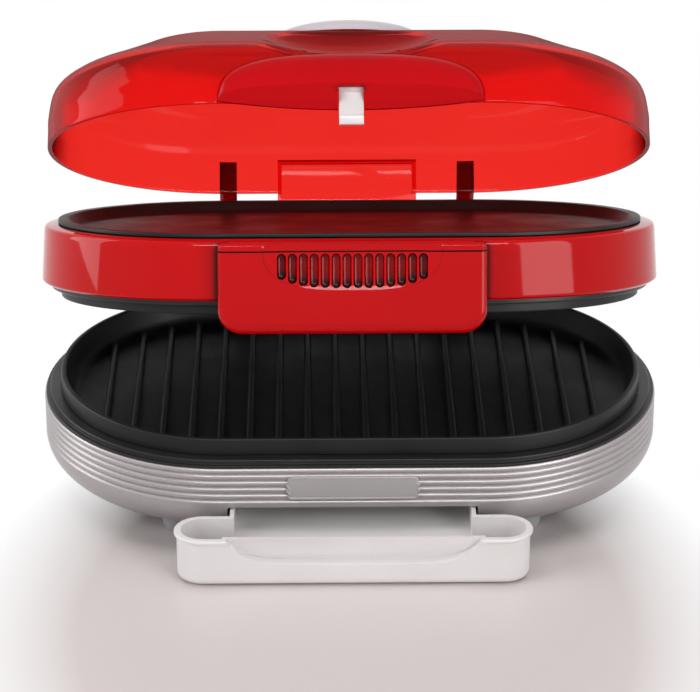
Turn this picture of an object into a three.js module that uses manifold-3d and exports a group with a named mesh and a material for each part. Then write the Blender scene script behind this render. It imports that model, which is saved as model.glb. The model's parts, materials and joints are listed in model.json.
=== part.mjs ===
// Two-level hamburger maker: a ribbed base with a grill basin and a drip tray, a middle body that
// grills from above and carries the bun tray, and a clear lid over the buns.
// Millimetres, +Z up. The origin lies on the table, under the middle of the whole appliance.
// Every piece is drawn with the appliance shut; nested groups then open the middle body and the lid.

import * as THREE from 'three';
import { mergeVertices } from 'three/addons/utils/BufferGeometryUtils.js';
import Module from 'manifold-3d';

const wasm = await Module();
wasm.setup();

// Driving sizes

const clearance = 0.3; // gap between pieces that touch
const runningGap = 0.5; // gap beside a piece that turns or slides
const overrun = 3; // how far a cutting shape runs past the piece that it cuts

const bodyWidth = 318;
const bodyDepth = 201;
const endLength = 94; // length of the rounded part at each end
const endSteps = 8; // facets in a quarter of the outline
const roundSides = 12; // facets of a pin, a tube or a screw
const curveSteps = 5; // facets in a quarter turn of a small curve

const middleOpenAngle = THREE.MathUtils.degToRad(16.5);
const lidOpenAngle = THREE.MathUtils.degToRad(18.2);

const shell = {
  bottom: 9,
  wall: 2.4,
  bowlInset: 26,
  bowlTop: 27.5,
  top: 47.5,
  grooveCount: 5,
  grooveDepth: 1,
  grooveHeight: 1.5,
  grooveMargin: 2.1,
};
const bowlPower = 0.95; // 1 gives an ellipse and less is fuller
const bowlSteps = 7;

const collar = {
  bandInset: 0.8,
  bandHeight: 1.2,
  flangeInset: 3,
  flangeTop: 51.3,
  flangeBevel: 0.6,
  innerInset: 11.3,
  thickness: 2,
  skirtDepth: 2.5,
  skirtWidth: 2.4,
};

const lowerPlate = {
  outerInset: 8.4,
  rimTop: 60,
  rimWidth: 2.4,
  rimRound: 0.7,
  rimLean: 0.5,
  basinInset: 11.8,
  floorInset: 16.5,
  floorTop: 46,
  floorThickness: 3,
  ribPitch: 14.7,
  ribBase: 4.6,
  ribCrest: 2.4,
  ribHeight: 3.6,
  ribEndGap: 3,
  ribSideGap: 12,
  drainRadius: 4,
  drainInset: 28.5,
};

const element = {
  radius: 3.25,
  sideInset: 55,
  faceInset: 50.5,
  cornerShare: 0.68,
  tailSpacing: 26,
  tailLength: 16,
  steps: 46,
  sides: 6,
};

const reflector = {
  rimInset: 16.2,
  floorInset: 19.5,
  sheet: 1.2,
  elementGap: 3,
};

const spout = { wall: 1.6, drop: 15.5, holeGap: 1 };

const thermostat = {
  radius: 8,
  height: 9,
  tabWidth: 6,
  tabLength: 30,
  tabHeight: 2,
  x: -58,
  rearInset: 56.5,
};
const fuse = { radius: 3, length: 26, x: 58, rearInset: 56.5 };
const terminals = {
  width: 44,
  depth: 18,
  height: 12,
  wayWidth: 8,
  wayDepth: 7,
  wayCount: 3,
  rearInset: 50.5,
};

const trayOpening = { sideInset: 96.7, top: 26.5 };
const housing = { wall: 1.6, length: 66, roofGap: 0.6 };

const tray = {
  bottom: 0.8,
  top: 25.5,
  wall: 2,
  sideInset: 72,
  frontGap: 8,
  frontDepth: 25.5,
  lip: 1.3,
  lipHeight: 1.8,
  neckGap: 1.3,
  neckBackGap: 2.8,
  scoopEndGap: 24.5,
  scoopDrop: 13.6,
  scoopRise: 2.4,
  scoopTopDepth: 1.4,
  scoopBottomDepth: 6.8,
};
const scoopShoulderShares = [0.92, 0.56]; // where the scoop's lower edge bends, as shares of its half width

const badge = {
  halfWidth: 33.5,
  height: 12.6,
  thickness: 1.1,
  bottom: 31.2,
  teeth: 3,
  toothDepth: 1.6,
  taper: 2.6,
};

const foot = { topRadius: 10, bottomRadius: 7.6, sideInset: 71.5, faceInset: 32.5, round: 1 };
const coverScrew = {
  sideInset: 63,
  faceInset: 70.5,
  headRadius: 3.4,
  headHeight: 1.6,
  shankRadius: 1.6,
  shankLength: 6,
};
const gland = {
  z: 36,
  cordRadius: 3.4,
  tubeRadius: 5,
  flangeRadius: 8,
  flangeThickness: 2.5,
  nose: 8,
  inside: 4,
};

const bodyHingeReach = 17.5; // how far behind the rear face the middle body's hinge lies
const lidHingeReach = 14.1;
const bodyHinge = {
  y: bodyDepth / 2 + bodyHingeReach,
  z: 45,
  pinRadius: 3,
  headRadius: 4.5,
  knuckleRadius: 9,
};
const lidHinge = {
  y: bodyDepth / 2 + lidHingeReach,
  z: 91.5,
  pinRadius: 2.4,
  headRadius: 3.6,
  knuckleRadius: 6,
};
const hinge = {
  armInset: 109,
  armWidth: 10,
  cheekWidth: 9.4,
  plateThickness: 3.2,
  bracketBottom: 25,
  bracketTop: 46.5,
  armBottom: 75,
  armTop: 93,
  pinHead: 1.6,
};

const upper = {
  bottom: 70,
  height: 30.2,
  wall: 2.4,
  chamfer: 2,
  chamferHeight: 1.4,
  flareInset: 1.4,
  shoulderDrop: 2.6,
  shoulderInset: 7.6,
  ledgeInset: 12.5,
  ledgeThickness: 2.2,
};

const bunTray = {
  outerInset: 8.6,
  rimHeight: 2,
  rimRound: 0.6,
  rimInner: 13.9,
  floorInset: 17.5,
  floorDrop: 4.6,
  sheet: 1.6,
};

const middleCollar = { outerInset: 4.8, innerInset: 9.5, drop: 2.7, bevel: 0.8, rise: 3 };

const upperPlate = {
  outerInset: 9.8,
  rimDrop: 7.3,
  rimWidth: 2.2,
  rimRound: 0.6,
  floorInset: 16.5,
  floorDrop: 3,
  floorThickness: 3,
  flangeRise: 2.2,
  flangeInset: 14,
  ribPitch: 11.5,
  ribBase: 3.8,
  ribCrest: 2.2,
  ribHeight: 3,
  ribEndGap: 3,
  ribSideGap: 12,
};

const tongue = {
  sideInset: 93.5,
  proud: 9,
  drop: 15.8,
  top: 97.6,
  lowerCorner: 12,
  upperCorner: 3,
  lowerFillet: 6,
  upperFillet: 1.5,
  wall: 2.6,
  seamDrop: 3.4,
  seamHeight: 1,
  seamDepth: 0.7,
  fluteCount: 14,
  flutePitch: 5.3,
  fluteRadius: 2.35,
  fluteDepth: 1.6,
  fluteTopDrop: 5,
  fluteLength: 13,
  fluteSag: 3.6,
  grooveEndGap: 8.5,
  grooveRun: 3.4,
};

const lid = {
  rim: 100.1,
  inset: 3,
  wall: 2.4,
  shoulderInset: 63,
  height: 54,
};
// the dome's wall, as shares of its shoulder's inset and of its height
const domeWallShares = [
  [0, 0],
  [0.006, 0.298],
  [0.046, 0.511],
  [0.16, 0.631],
  [0.324, 0.717],
  [0.497, 0.806],
  [0.651, 0.887],
  [0.759, 0.937],
  [1, 0.98],
];
const recess = { halfWidth: 60, halfDepth: 44, halfHeight: 35, frontInset: 8.5, height: 60 };

// the plate that closes the cut-out in the dome's rear wall and hangs behind the housing
const rearPlate = { armGap: 12, wall: 2.2, flange: 2.6, above: 19, below: 12 };

const lidGrip = {
  sideInset: 93.4,
  proud: 13.5,
  height: 24,
  lipDrop: 4.6,
  lipThickness: 2.2,
  lipGap: 2.3,
  noseHeight: 6,
  wall: 2.2,
  archSteps: 12,
};

const gripPlanPower = 3.5; // 2 gives an ellipse and more is squarer
const gripViewPower = 3;

const medallion = { halfWidth: 37.4, halfDepth: 20, frontInset: 72.5, rise: 6.5, rings: 4, sides: 28 };

const latch = {
  halfWidth: 6,
  thickness: 2.2,
  ahead: 2.4,
  pivotHeight: 6,
  pinRadius: 1.3,
  knuckleRadius: 2.8,
  drop: 12.6,
  hook: 1,
  hookHeight: 5,
  slotGap: 1.4,
  slotRun: 5.7,
  boss: 2.2,
  swing: 0.7,
};

// Solids and meshes

function solidOf(geometry) {
  const bare = geometry.index ? geometry.toNonIndexed() : geometry.clone();
  bare.deleteAttribute('normal');
  bare.deleteAttribute('uv');
  const merged = mergeVertices(bare, clearance / 1000);
  const index = merged.index.array;
  const position = merged.attributes.position.array;
  const corners = [];
  let volume = 0;
  for (let i = 0; i < index.length; i += 3) {
    const [a, b, c] = [index[i], index[i + 1], index[i + 2]];
    if (a === b || b === c || c === a) continue;
    corners.push(a, b, c);
    const [p, q, r] = [a, b, c].map((k) => new THREE.Vector3().fromArray(position, 3 * k));
    volume += p.dot(q.cross(r));
  }
  if (volume < 0) {
    for (let i = 0; i < corners.length; i += 3) {
      [corners[i], corners[i + 1]] = [corners[i + 1], corners[i]];
    }
  }
  const mesh = new wasm.Mesh({
    numProp: 3,
    vertProperties: new Float32Array(position),
    triVerts: new Uint32Array(corners),
  });
  return new wasm.Manifold(mesh);
}

function geometryOf(solid) {
  const mesh = solid.getMesh();
  const positions = [];
  for (let i = 0; i < mesh.vertProperties.length; i += mesh.numProp) {
    positions.push(...mesh.vertProperties.subarray(i, i + 3));
  }
  const geometry = new THREE.BufferGeometry();
  geometry.setAttribute('position', new THREE.Float32BufferAttribute(positions, 3));
  geometry.setIndex(Array.from(mesh.triVerts));
  geometry.computeVertexNormals();
  return geometry;
}

function joined(...solids) {
  return solids.reduce((whole, piece) => whole.add(piece));
}

function cut(solid, ...tools) {
  return tools.reduce((rest, tool) => rest.subtract(tool), solid);
}

function piece(name, solid, material) {
  const mesh = new THREE.Mesh(geometryOf(solid), material);
  mesh.name = name;
  return mesh;
}

// Outlines: a straight front and back, and a rounded end at each side

function outlineQuarters(inset) {
  const centreX = bodyWidth / 2 - endLength;
  const radiusX = Math.max(endLength - inset, 0);
  const radiusY = Math.max(bodyDepth / 2 - inset, 0);
  return { centreX, radiusX, radiusY };
}

// the outline's point number `step`, counted round from the right-hand end, at a given inset
function outlinePoint(step, inset) {
  const { centreX, radiusX, radiusY } = outlineQuarters(inset);
  const perQuarter = endSteps + 1;
  const quarter = Math.floor(step / perQuarter) % 4;
  const angle = ((quarter + (step % perQuarter) / endSteps) * Math.PI) / 2;
  const side = quarter === 0 || quarter === 3 ? 1 : -1;
  return new THREE.Vector2(side * centreX + radiusX * Math.cos(angle), radiusY * Math.sin(angle));
}

const outlineSteps = 4 * (endSteps + 1);
const axisInset = bodyDepth / 2;
const frontFace = -bodyDepth / 2;
const rearFace = bodyDepth / 2;

// how far from the middle something lies that keeps its distance from the sides
function fromSide(inset) {
  return bodyWidth / 2 - inset;
}

// half the depth of the outline at a given place across
function halfDepthAt(x, inset) {
  const { centreX, radiusX, radiusY } = outlineQuarters(inset);
  const along = Math.max(Math.abs(x) - centreX, 0) / radiusX;
  return radiusY * Math.sqrt(Math.max(1 - along ** 2, 0));
}

// a turned section bent to the outline: the section's points are [inset, height]
function ringSolid(section) {
  const profile = section.map(([inset, height]) => new THREE.Vector2(axisInset - inset, height));
  const first = section[0];
  const last = section[section.length - 1];
  const onAxis = first[0] === axisInset && last[0] === axisInset;
  if (!onAxis) profile.push(profile[0].clone());
  const lathe = new THREE.LatheGeometry(profile, outlineSteps);
  const position = lathe.attributes.position;
  for (let step = 0; step <= outlineSteps; step += 1) {
    profile.forEach((point, j) => {
      const flat = outlinePoint(step, axisInset - point.x);
      position.setXYZ(step * profile.length + j, flat.x, flat.y, point.y);
    });
  }
  return solidOf(lathe);
}

// the dome's outer wall as [inset, height above the rim]
const domeWall = domeWallShares.map(([inset, height]) => [inset * lid.shoulderInset, height * lid.height]);

// the room that the dome takes up, grown by a gap
function domeRoom(gap) {
  const low = lid.rim - overrun;
  const wall = domeWall.slice(1).map(([inset, height]) => [lid.inset + inset - gap, lid.rim + height + gap]);
  return ringSolid([
    [axisInset, low],
    [lid.inset - gap, low],
    ...wall,
    [axisInset, lid.rim + lid.height + gap],
  ]);
}

// Extruded shapes, drums and tubes

function shapeOf(points) {
  return new THREE.Shape(points.map(([u, v]) => new THREE.Vector2(u, v)));
}

// points round a circle, counted in quarter turns from the right
function arcPoints(x, y, radius, fromQuarter, quarters = 1) {
  const points = [];
  for (let i = 0; i <= quarters * curveSteps; i += 1) {
    const angle = (fromQuarter + i / curveSteps) * (Math.PI / 2);
    points.push([x + radius * Math.cos(angle), y + radius * Math.sin(angle)]);
  }
  return points;
}

// an arch from the right foot over the top to the left foot, squarer the higher its power
function archPoints(halfWidth, height, power, steps) {
  const points = [];
  for (let i = 0; i <= steps; i += 1) {
    const angle = Math.PI * (i / steps);
    const across = Math.abs(Math.cos(angle)) ** (2 / power);
    const side = i < steps / 2 ? 1 : -1;
    points.push([side * halfWidth * across, height * Math.abs(Math.sin(angle)) ** (2 / power)]);
  }
  return points;
}

function extruded(shape, depth) {
  return new THREE.ExtrudeGeometry(shape, { depth, bevelEnabled: false, curveSegments: curveSteps });
}

function upward(shape, low, high) {
  return solidOf(extruded(shape, high - low).translate(0, 0, low));
}

// a shape drawn in (y, z), from one x to another
function across(shape, low, high) {
  const geometry = extruded(shape, high - low);
  const axes = new THREE.Matrix4().makeBasis(
    new THREE.Vector3(0, 1, 0),
    new THREE.Vector3(0, 0, 1),
    new THREE.Vector3(1, 0, 0),
  );
  return solidOf(geometry.applyMatrix4(axes).translate(low, 0, 0));
}

// a shape drawn in (x, z), from one y to another
function backward(shape, front, back) {
  const geometry = extruded(shape, back - front);
  const axes = new THREE.Matrix4().makeBasis(
    new THREE.Vector3(1, 0, 0),
    new THREE.Vector3(0, 0, 1),
    new THREE.Vector3(0, -1, 0),
  );
  return solidOf(geometry.applyMatrix4(axes).translate(0, back, 0));
}

function block(x, y, z) {
  const size = [x, y, z].map(([low, high]) => high - low);
  const middle = [x, y, z].map(([low, high]) => (low + high) / 2);
  return solidOf(new THREE.BoxGeometry(...size).translate(...middle));
}

function drumAlongX(radius, low, high, y, z, sides = roundSides) {
  const drum = new THREE.CylinderGeometry(radius, radius, high - low, sides);
  return solidOf(drum.rotateZ(Math.PI / 2).translate((low + high) / 2, y, z));
}

function drumAlongY(radius, low, high, x, z, sides = roundSides) {
  const drum = new THREE.CylinderGeometry(radius, radius, high - low, sides);
  return solidOf(drum.translate(x, (low + high) / 2, z));
}

function drumAlongZ(radius, low, high, x, y, sides = roundSides) {
  const drum = new THREE.CylinderGeometry(radius, radius, high - low, sides);
  return solidOf(drum.rotateX(Math.PI / 2).translate(x, y, (low + high) / 2));
}

// a turned piece: points are [radius, height], from axis to axis
function turned(points, x, y, sides = roundSides) {
  const lathe = new THREE.LatheGeometry(points.map(([r, h]) => new THREE.Vector2(r, h)), sides);
  return solidOf(lathe.rotateX(Math.PI / 2).translate(x, y, 0));
}

// Materials

function finish(color, roughness, metalness, extra = {}) {
  return new THREE.MeshStandardMaterial({ color, roughness, metalness, ...extra });
}

const silver = () => finish(0xa9a8aa, 0.35, 0.6);
const castBlack = () => finish(0x1b1b1c, 0.45, 0.1);
const ringBlack = () => finish(0x141415, 0.35, 0);
const glossRed = () => finish(0xbe0006, 0.12, 0);
const clearRed = () => finish(0xe0100c, 0.08, 0, { transparent: true, opacity: 0.6 });
const trayWhite = () => finish(0xd7d2d2, 0.4, 0);
const clipWhite = () => finish(0xcdc8c8, 0.35, 0);
const sheetSteel = () => finish(0xb4b5b8, 0.3, 0.9);
const footGrey = () => finish(0x8f8f92, 0.7, 0);
const medallionGrey = () => finish(0xb8b0b4, 0.3, 0.4);

// Base

function bowlSection(inset, height, fromInset, fromHeight) {
  const points = [];
  for (let i = 0; i <= bowlSteps; i += 1) {
    const angle = (i / bowlSteps) * (Math.PI / 2);
    points.push([
      fromInset + inset * (1 - Math.cos(angle) ** bowlPower),
      fromHeight - height * Math.sin(angle) ** bowlPower,
    ]);
  }
  return points;
}

function shellOuterSection() {
  const span = shell.top - shell.bowlTop - shell.grooveMargin;
  const pitch = span / shell.grooveCount;
  const points = [[0, shell.top]];
  for (let i = 0; i < shell.grooveCount; i += 1) {
    const centre = shell.top - shell.grooveMargin - (i + 1 / 4) * pitch;
    points.push([0, centre + shell.grooveHeight / 2]);
    points.push([shell.grooveDepth, centre]);
    points.push([0, centre - shell.grooveHeight / 2]);
  }
  return [...points, ...bowlSection(shell.bowlInset, shell.bowlTop - shell.bottom, 0, shell.bowlTop)];
}

function shellInnerSection(gap) {
  const inset = shell.wall + gap;
  const floor = shell.bottom + inset;
  return [
    [inset, shell.top],
    ...bowlSection(shell.bowlInset - inset, shell.bowlTop - floor, inset, shell.bowlTop),
  ];
}

// everything inside the shell's inner surface
function shellRoom(gap) {
  const floor = shell.bottom + shell.wall + gap;
  return ringSolid([[axisInset, shell.top], ...shellInnerSection(gap), [axisInset, floor]]);
}

const shellFloor = shell.bottom + shell.wall;
const openingHalf = fromSide(trayOpening.sideInset);

function baseShell() {
  const ring = ringSolid([...shellOuterSection(), ...shellInnerSection(0).reverse()]);
  const opening = block(
    [-openingHalf, openingHalf],
    [frontFace - overrun, frontFace + shell.bowlInset + overrun],
    [shellFloor, trayOpening.top],
  );
  const glandHole = drumAlongY(
    gland.tubeRadius + clearance,
    rearFace - shell.wall - overrun,
    rearFace + overrun,
    0,
    gland.z,
  );
  return cut(ring, opening, glandHole);
}

function badgePlate() {
  const { halfWidth, height, teeth, toothDepth, taper } = badge;
  const right = [];
  for (let i = 0; i <= 2 * teeth; i += 1) {
    const rise = i / (2 * teeth);
    const bulge = taper * Math.sin(Math.PI * rise);
    const tooth = i % 2 === 1 ? toothDepth : 0;
    right.push([halfWidth - taper + bulge - tooth, badge.bottom + height * rise]);
  }
  const left = right.map(([x, z]) => [-x, z]).reverse();
  const back = frontFace - clearance;
  return backward(shapeOf([...right, ...left]), back - badge.thickness, back);
}

function baseCollar() {
  const foot = shell.top + clearance;
  const skirtInset = shell.wall + clearance;
  return ringSolid([
    [collar.bandInset, foot],
    [collar.bandInset, foot + collar.bandHeight],
    [collar.flangeInset, foot + collar.bandHeight],
    [collar.flangeInset, collar.flangeTop - collar.flangeBevel],
    [collar.flangeInset + collar.flangeBevel, collar.flangeTop],
    [collar.innerInset, collar.flangeTop],
    [collar.innerInset, collar.flangeTop - collar.thickness],
    [skirtInset + collar.skirtWidth, collar.flangeTop - collar.thickness],
    [skirtInset + collar.skirtWidth, foot - collar.skirtDepth],
    [skirtInset, foot - collar.skirtDepth],
    [skirtInset, foot],
  ]);
}

function rib(plate, x, root, crest, floorInset) {
  const half = halfDepthAt(x, floorInset) - plate.ribEndGap;
  const section = shapeOf([
    [x - plate.ribBase / 2, root],
    [x + plate.ribBase / 2, root],
    [x + plate.ribCrest / 2, crest],
    [x - plate.ribCrest / 2, crest],
  ]);
  return backward(section, -half, half);
}

function ribs(plate, root, crest, floorInset) {
  const bars = [];
  const perSide = Math.round(fromSide(floorInset + plate.ribSideGap) / plate.ribPitch);
  for (let i = 0; i < 2 * perSide; i += 1) {
    const x = (i - perSide + 1 / 2) * plate.ribPitch;
    bars.push(rib(plate, x, root, crest, floorInset));
  }
  return bars;
}

const plateSeat = collar.flangeTop + clearance;
const plateUnderside = lowerPlate.floorTop - lowerPlate.floorThickness;
const drainPlace = frontFace + lowerPlate.drainInset;

function lowerGrillPlate() {
  const { outerInset, rimTop, rimWidth, rimRound, rimLean, floorTop } = lowerPlate;
  const rimOuter = outerInset + rimLean;
  const rimInner = rimOuter + rimWidth;
  const basin = ringSolid([
    [outerInset, plateSeat],
    [rimOuter, rimTop - rimRound],
    [rimOuter + rimRound, rimTop],
    [rimInner - rimRound, rimTop],
    [rimInner, rimTop - rimRound],
    [lowerPlate.floorInset - rimWidth, floorTop + lowerPlate.ribHeight],
    [lowerPlate.floorInset, floorTop],
    [axisInset, floorTop],
    [axisInset, plateUnderside],
    [lowerPlate.floorInset - rimWidth, plateUnderside],
    [lowerPlate.basinInset, floorTop],
    [lowerPlate.basinInset, plateSeat],
  ]);
  const crest = floorTop + lowerPlate.ribHeight;
  const bars = ribs(lowerPlate, plateUnderside + rimWidth, crest, lowerPlate.floorInset);
  const drain = drumAlongZ(
    lowerPlate.drainRadius,
    plateUnderside - overrun,
    floorTop + overrun,
    0,
    drainPlace,
  );
  return cut(joined(basin, ...bars), drain);
}

function dripSpout() {
  const outer = lowerPlate.drainRadius + spout.wall;
  const high = plateUnderside - clearance;
  const low = high - spout.drop;
  const tube = drumAlongZ(outer, low, high, 0, drainPlace);
  const bore = drumAlongZ(lowerPlate.drainRadius, low - overrun, high + overrun, 0, drainPlace);
  return cut(tube, bore);
}

// an open rounded loop with two straight tails that leave at the rear
function elementLoop(z) {
  const { tailSpacing, tailLength } = element;
  const halfLength = fromSide(element.sideInset);
  const halfDepth = bodyDepth / 2 - element.faceInset;
  const cornerRadius = element.cornerShare * halfDepth;
  const corner = (x, y, from, to) => {
    const arc = new THREE.EllipseCurve(x, y, cornerRadius, cornerRadius, from, to, false);
    return arc.getPoints(curveSteps).map((p) => new THREE.Vector3(p.x, p.y, z));
  };
  const x = halfLength - cornerRadius;
  const y = halfDepth - cornerRadius;
  const points = [
    new THREE.Vector3(-tailSpacing / 2, halfDepth + tailLength, z),
    new THREE.Vector3(-tailSpacing / 2, halfDepth + tailLength / 4, z),
    new THREE.Vector3(-tailSpacing, halfDepth, z),
    ...corner(-x, y, Math.PI / 2, Math.PI),
    ...corner(-x, -y, Math.PI, 1.5 * Math.PI),
    ...corner(x, -y, 1.5 * Math.PI, 2 * Math.PI),
    ...corner(x, y, 0, Math.PI / 2),
    new THREE.Vector3(tailSpacing, halfDepth, z),
    new THREE.Vector3(tailSpacing / 2, halfDepth + tailLength / 4, z),
    new THREE.Vector3(tailSpacing / 2, halfDepth + tailLength, z),
  ];
  return new THREE.CatmullRomCurve3(points, false, 'centripetal');
}

function heatingElement(z) {
  const section = [];
  for (let i = 0; i < element.sides; i += 1) {
    const angle = ((i + 1 / 2) / element.sides) * 2 * Math.PI;
    section.push([element.radius * Math.cos(angle), element.radius * Math.sin(angle)]);
  }
  const tube = new THREE.ExtrudeGeometry(shapeOf(section), {
    steps: element.steps,
    bevelEnabled: false,
    extrudePath: elementLoop(z),
  });
  return solidOf(tube);
}

const lowerElementHeight = plateUnderside - clearance - element.radius;
const lowerReflectorTop = lowerElementHeight - element.radius - reflector.elementGap;
const drainHoleRadius = lowerPlate.drainRadius + spout.wall + spout.holeGap;

function dish(rim, floor) {
  const facing = Math.sign(rim - floor);
  const sheet = reflector.sheet;
  return ringSolid([
    [axisInset, floor],
    [reflector.floorInset, floor],
    [reflector.rimInset, rim],
    [reflector.rimInset + sheet, rim],
    [reflector.floorInset + sheet, floor + facing * sheet],
    [axisInset, floor + facing * sheet],
  ]);
}

function lowerReflector() {
  const floor = lowerReflectorTop - reflector.sheet;
  const hole = drumAlongZ(
    drainHoleRadius,
    floor - overrun,
    lowerReflectorTop + overrun,
    0,
    drainPlace,
  );
  return cut(dish(plateUnderside - clearance, floor), hole);
}

function thermostatBody() {
  const { radius, height, tabWidth, tabLength, tabHeight, x } = thermostat;
  const y = rearFace - thermostat.rearInset;
  const top = lowerReflectorTop - reflector.sheet - clearance;
  const drum = drumAlongZ(radius, top - height, top, x, y);
  const tabs = block(
    [x - tabLength / 2, x + tabLength / 2],
    [y - tabWidth / 2, y + tabWidth / 2],
    [top - height, top - height + tabHeight],
  );
  return joined(drum, tabs);
}

function thermalFuse() {
  const top = lowerReflectorTop - reflector.sheet - clearance;
  const half = fuse.length / 2;
  const y = rearFace - fuse.rearInset;
  return drumAlongX(fuse.radius, fuse.x - half, fuse.x + half, y, top - fuse.radius);
}

function terminalBlock() {
  const { width, depth, height, wayWidth, wayDepth, wayCount } = terminals;
  const y = rearFace - terminals.rearInset;
  const low = shellFloor + clearance;
  const solid = block([-width / 2, width / 2], [y - depth / 2, y + depth / 2], [low, low + height]);
  const ways = [];
  for (let i = 0; i < wayCount; i += 1) {
    const x = (i - (wayCount - 1) / 2) * (width / wayCount);
    ways.push(block(
      [x - wayWidth / 2, x + wayWidth / 2],
      [y + depth / 2 - wayDepth, y + depth / 2 + overrun],
      [low + height / 4, low + (3 * height) / 4],
    ));
  }
  return cut(solid, ...ways);
}

const housingFront = frontFace + shell.wall;
const housingBack = housingFront + housing.length;

function trayHousing() {
  const inner = trayOpening.top + housing.roofGap;
  const low = shellFloor + clearance;
  const half = openingHalf + housing.wall;
  const outside = block([-half, half], [housingFront, housingBack], [low, inner + housing.wall]);
  const inside = block(
    [-openingHalf, openingHalf],
    [housingFront - overrun, housingBack - housing.wall],
    [low - overrun, inner],
  );
  const hole = drumAlongZ(
    drainHoleRadius,
    inner - overrun,
    inner + housing.wall + overrun,
    0,
    drainPlace,
  );
  return cut(outside, inside, hole).intersect(shellRoom(clearance));
}

function bottomCover() {
  const inset = shell.bowlInset + clearance;
  const plate = ringSolid([
    [axisInset, shell.bottom],
    [inset, shell.bottom],
    [inset, shellFloor],
    [axisInset, shellFloor],
  ]);
  const holes = coverScrewPlaces().map(([x, y]) => (
    drumAlongZ(coverScrew.shankRadius + clearance, shell.bottom - overrun, shellFloor + overrun, x, y)
  ));
  return cut(plate, ...holes);
}

function coverScrewPlaces() {
  const x = fromSide(coverScrew.sideInset);
  const y = rearFace - coverScrew.faceInset;
  return [[x, y], [-x, y], [x, -y], [-x, -y]];
}

function coverScrewSolid(x, y) {
  const { headRadius, headHeight, shankRadius, shankLength } = coverScrew;
  const head = shell.bottom - clearance;
  return turned([
    [0, head - headHeight],
    [headRadius * (3 / 4), head - headHeight],
    [headRadius, head - headHeight / 2],
    [headRadius, head],
    [shankRadius, head],
    [shankRadius, head + shankLength],
    [0, head + shankLength],
  ], x, y);
}

function footSolid(x, y) {
  const top = shell.bottom - clearance;
  return turned([
    [0, 0],
    [foot.bottomRadius - foot.round, 0],
    [foot.bottomRadius, foot.round],
    [foot.topRadius, top],
    [0, top],
  ], x, y);
}

function cordGland() {
  const flangeFace = rearFace + clearance;
  const inner = rearFace - shell.wall - gland.inside;
  const outer = flangeFace + gland.flangeThickness + gland.nose;
  const tube = drumAlongY(gland.tubeRadius, inner, outer, 0, gland.z);
  const flange = drumAlongY(gland.flangeRadius, flangeFace, flangeFace + gland.flangeThickness, 0, gland.z);
  const bore = drumAlongY(gland.cordRadius, inner - overrun, outer + overrun, 0, gland.z);
  return cut(joined(tube, flange), bore);
}

// Hinges

function knuckle(place, low, high) {
  return drumAlongX(place.knuckleRadius, low, high, place.y, place.z, 2 * roundSides);
}

function pinHole(place, low, high, gap) {
  return drumAlongX(place.pinRadius + gap, low - overrun, high + overrun, place.y, place.z);
}

const armInner = fromSide(hinge.armInset);
const armSpan = [armInner, armInner + hinge.armWidth];
const cheekInner = [armInner - runningGap - hinge.cheekWidth, armInner - runningGap];
const cheekOuter = [armSpan[1] + runningGap, armSpan[1] + runningGap + hinge.cheekWidth];

function bracketCheek([low, high]) {
  const { y, z, knuckleRadius } = bodyHinge;
  const near = rearFace + clearance;
  const web = across(shapeOf([
    [near, hinge.bracketBottom],
    [y, z - knuckleRadius],
    [y, z + knuckleRadius],
    [near, hinge.bracketTop],
  ]), low, high);
  return joined(web, knuckle(bodyHinge, low, high));
}

function hingeBracket(side) {
  const near = rearFace + clearance;
  const plate = block(
    [cheekInner[0], cheekOuter[1]],
    [near, near + hinge.plateThickness],
    [hinge.bracketBottom, hinge.bracketTop],
  );
  const whole = joined(plate, bracketCheek(cheekInner), bracketCheek(cheekOuter));
  return mirrored(cut(whole, pinHole(bodyHinge, cheekInner[0], cheekOuter[1], clearance)), side);
}

function mirrored(solid, side) {
  return side < 0 ? solid.mirror([1, 0, 0]) : solid;
}

function hingePin(place, low, high, side) {
  const pin = drumAlongX(place.pinRadius, low, high + clearance, place.y, place.z);
  const head = drumAlongX(
    place.headRadius,
    high + clearance,
    high + clearance + hinge.pinHead,
    place.y,
    place.z,
  );
  return mirrored(joined(pin, head), side);
}

function middleHingeArm(side) {
  const [low, high] = armSpan;
  const near = rearFace + clearance;
  const { armBottom, armTop } = hinge;
  const web = across(shapeOf([
    [near, armBottom],
    [bodyHinge.y - bodyHinge.knuckleRadius, bodyHinge.z],
    [bodyHinge.y + bodyHinge.knuckleRadius, bodyHinge.z],
    [lidHinge.y + lidHinge.knuckleRadius, lidHinge.z],
    [lidHinge.y, lidHinge.z + lidHinge.knuckleRadius],
    [near, armTop],
  ]), low, high);
  const whole = joined(web, knuckle(bodyHinge, low, high), knuckle(lidHinge, low, high));
  const holes = [bodyHinge, lidHinge].map((place) => pinHole(place, low, high, clearance));
  return mirrored(cut(whole, ...holes), side);
}

function lidHingeEar(side) {
  const [low, high] = cheekOuter;
  const wallY = rearFace - lid.inset;
  const { y, z, knuckleRadius } = lidHinge;
  const web = across(shapeOf([
    [wallY - lidGrip.proud / 2, lid.rim + lid.wall],
    [rearFace, lid.rim + lid.wall / 2],
    [y - knuckleRadius, z + knuckleRadius],
    [y - knuckleRadius, z],
    [y + knuckleRadius, z],
    [wallY, lid.rim + 3 * knuckleRadius],
    [wallY - lidGrip.proud / 2, lid.rim + 3 * knuckleRadius],
  ]), low, high);
  const whole = cut(joined(web, knuckle(lidHinge, low, high)), pinHole(lidHinge, low, high, clearance));
  return mirrored(cut(whole, domeRoom(clearance)), side);
}

// Drip tray

const trayBack = frontFace - tray.frontGap;
const trayFront = trayBack - tray.frontDepth;
const trayFrontHalf = fromSide(tray.sideInset);

function stadium(halfWidth, front, back) {
  const radius = (back - front) / 2;
  const middle = (front + back) / 2;
  return shapeOf([
    ...arcPoints(halfWidth - radius, middle, radius, 3, 2),
    ...arcPoints(-halfWidth + radius, middle, radius, 1, 2),
  ]);
}

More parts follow.
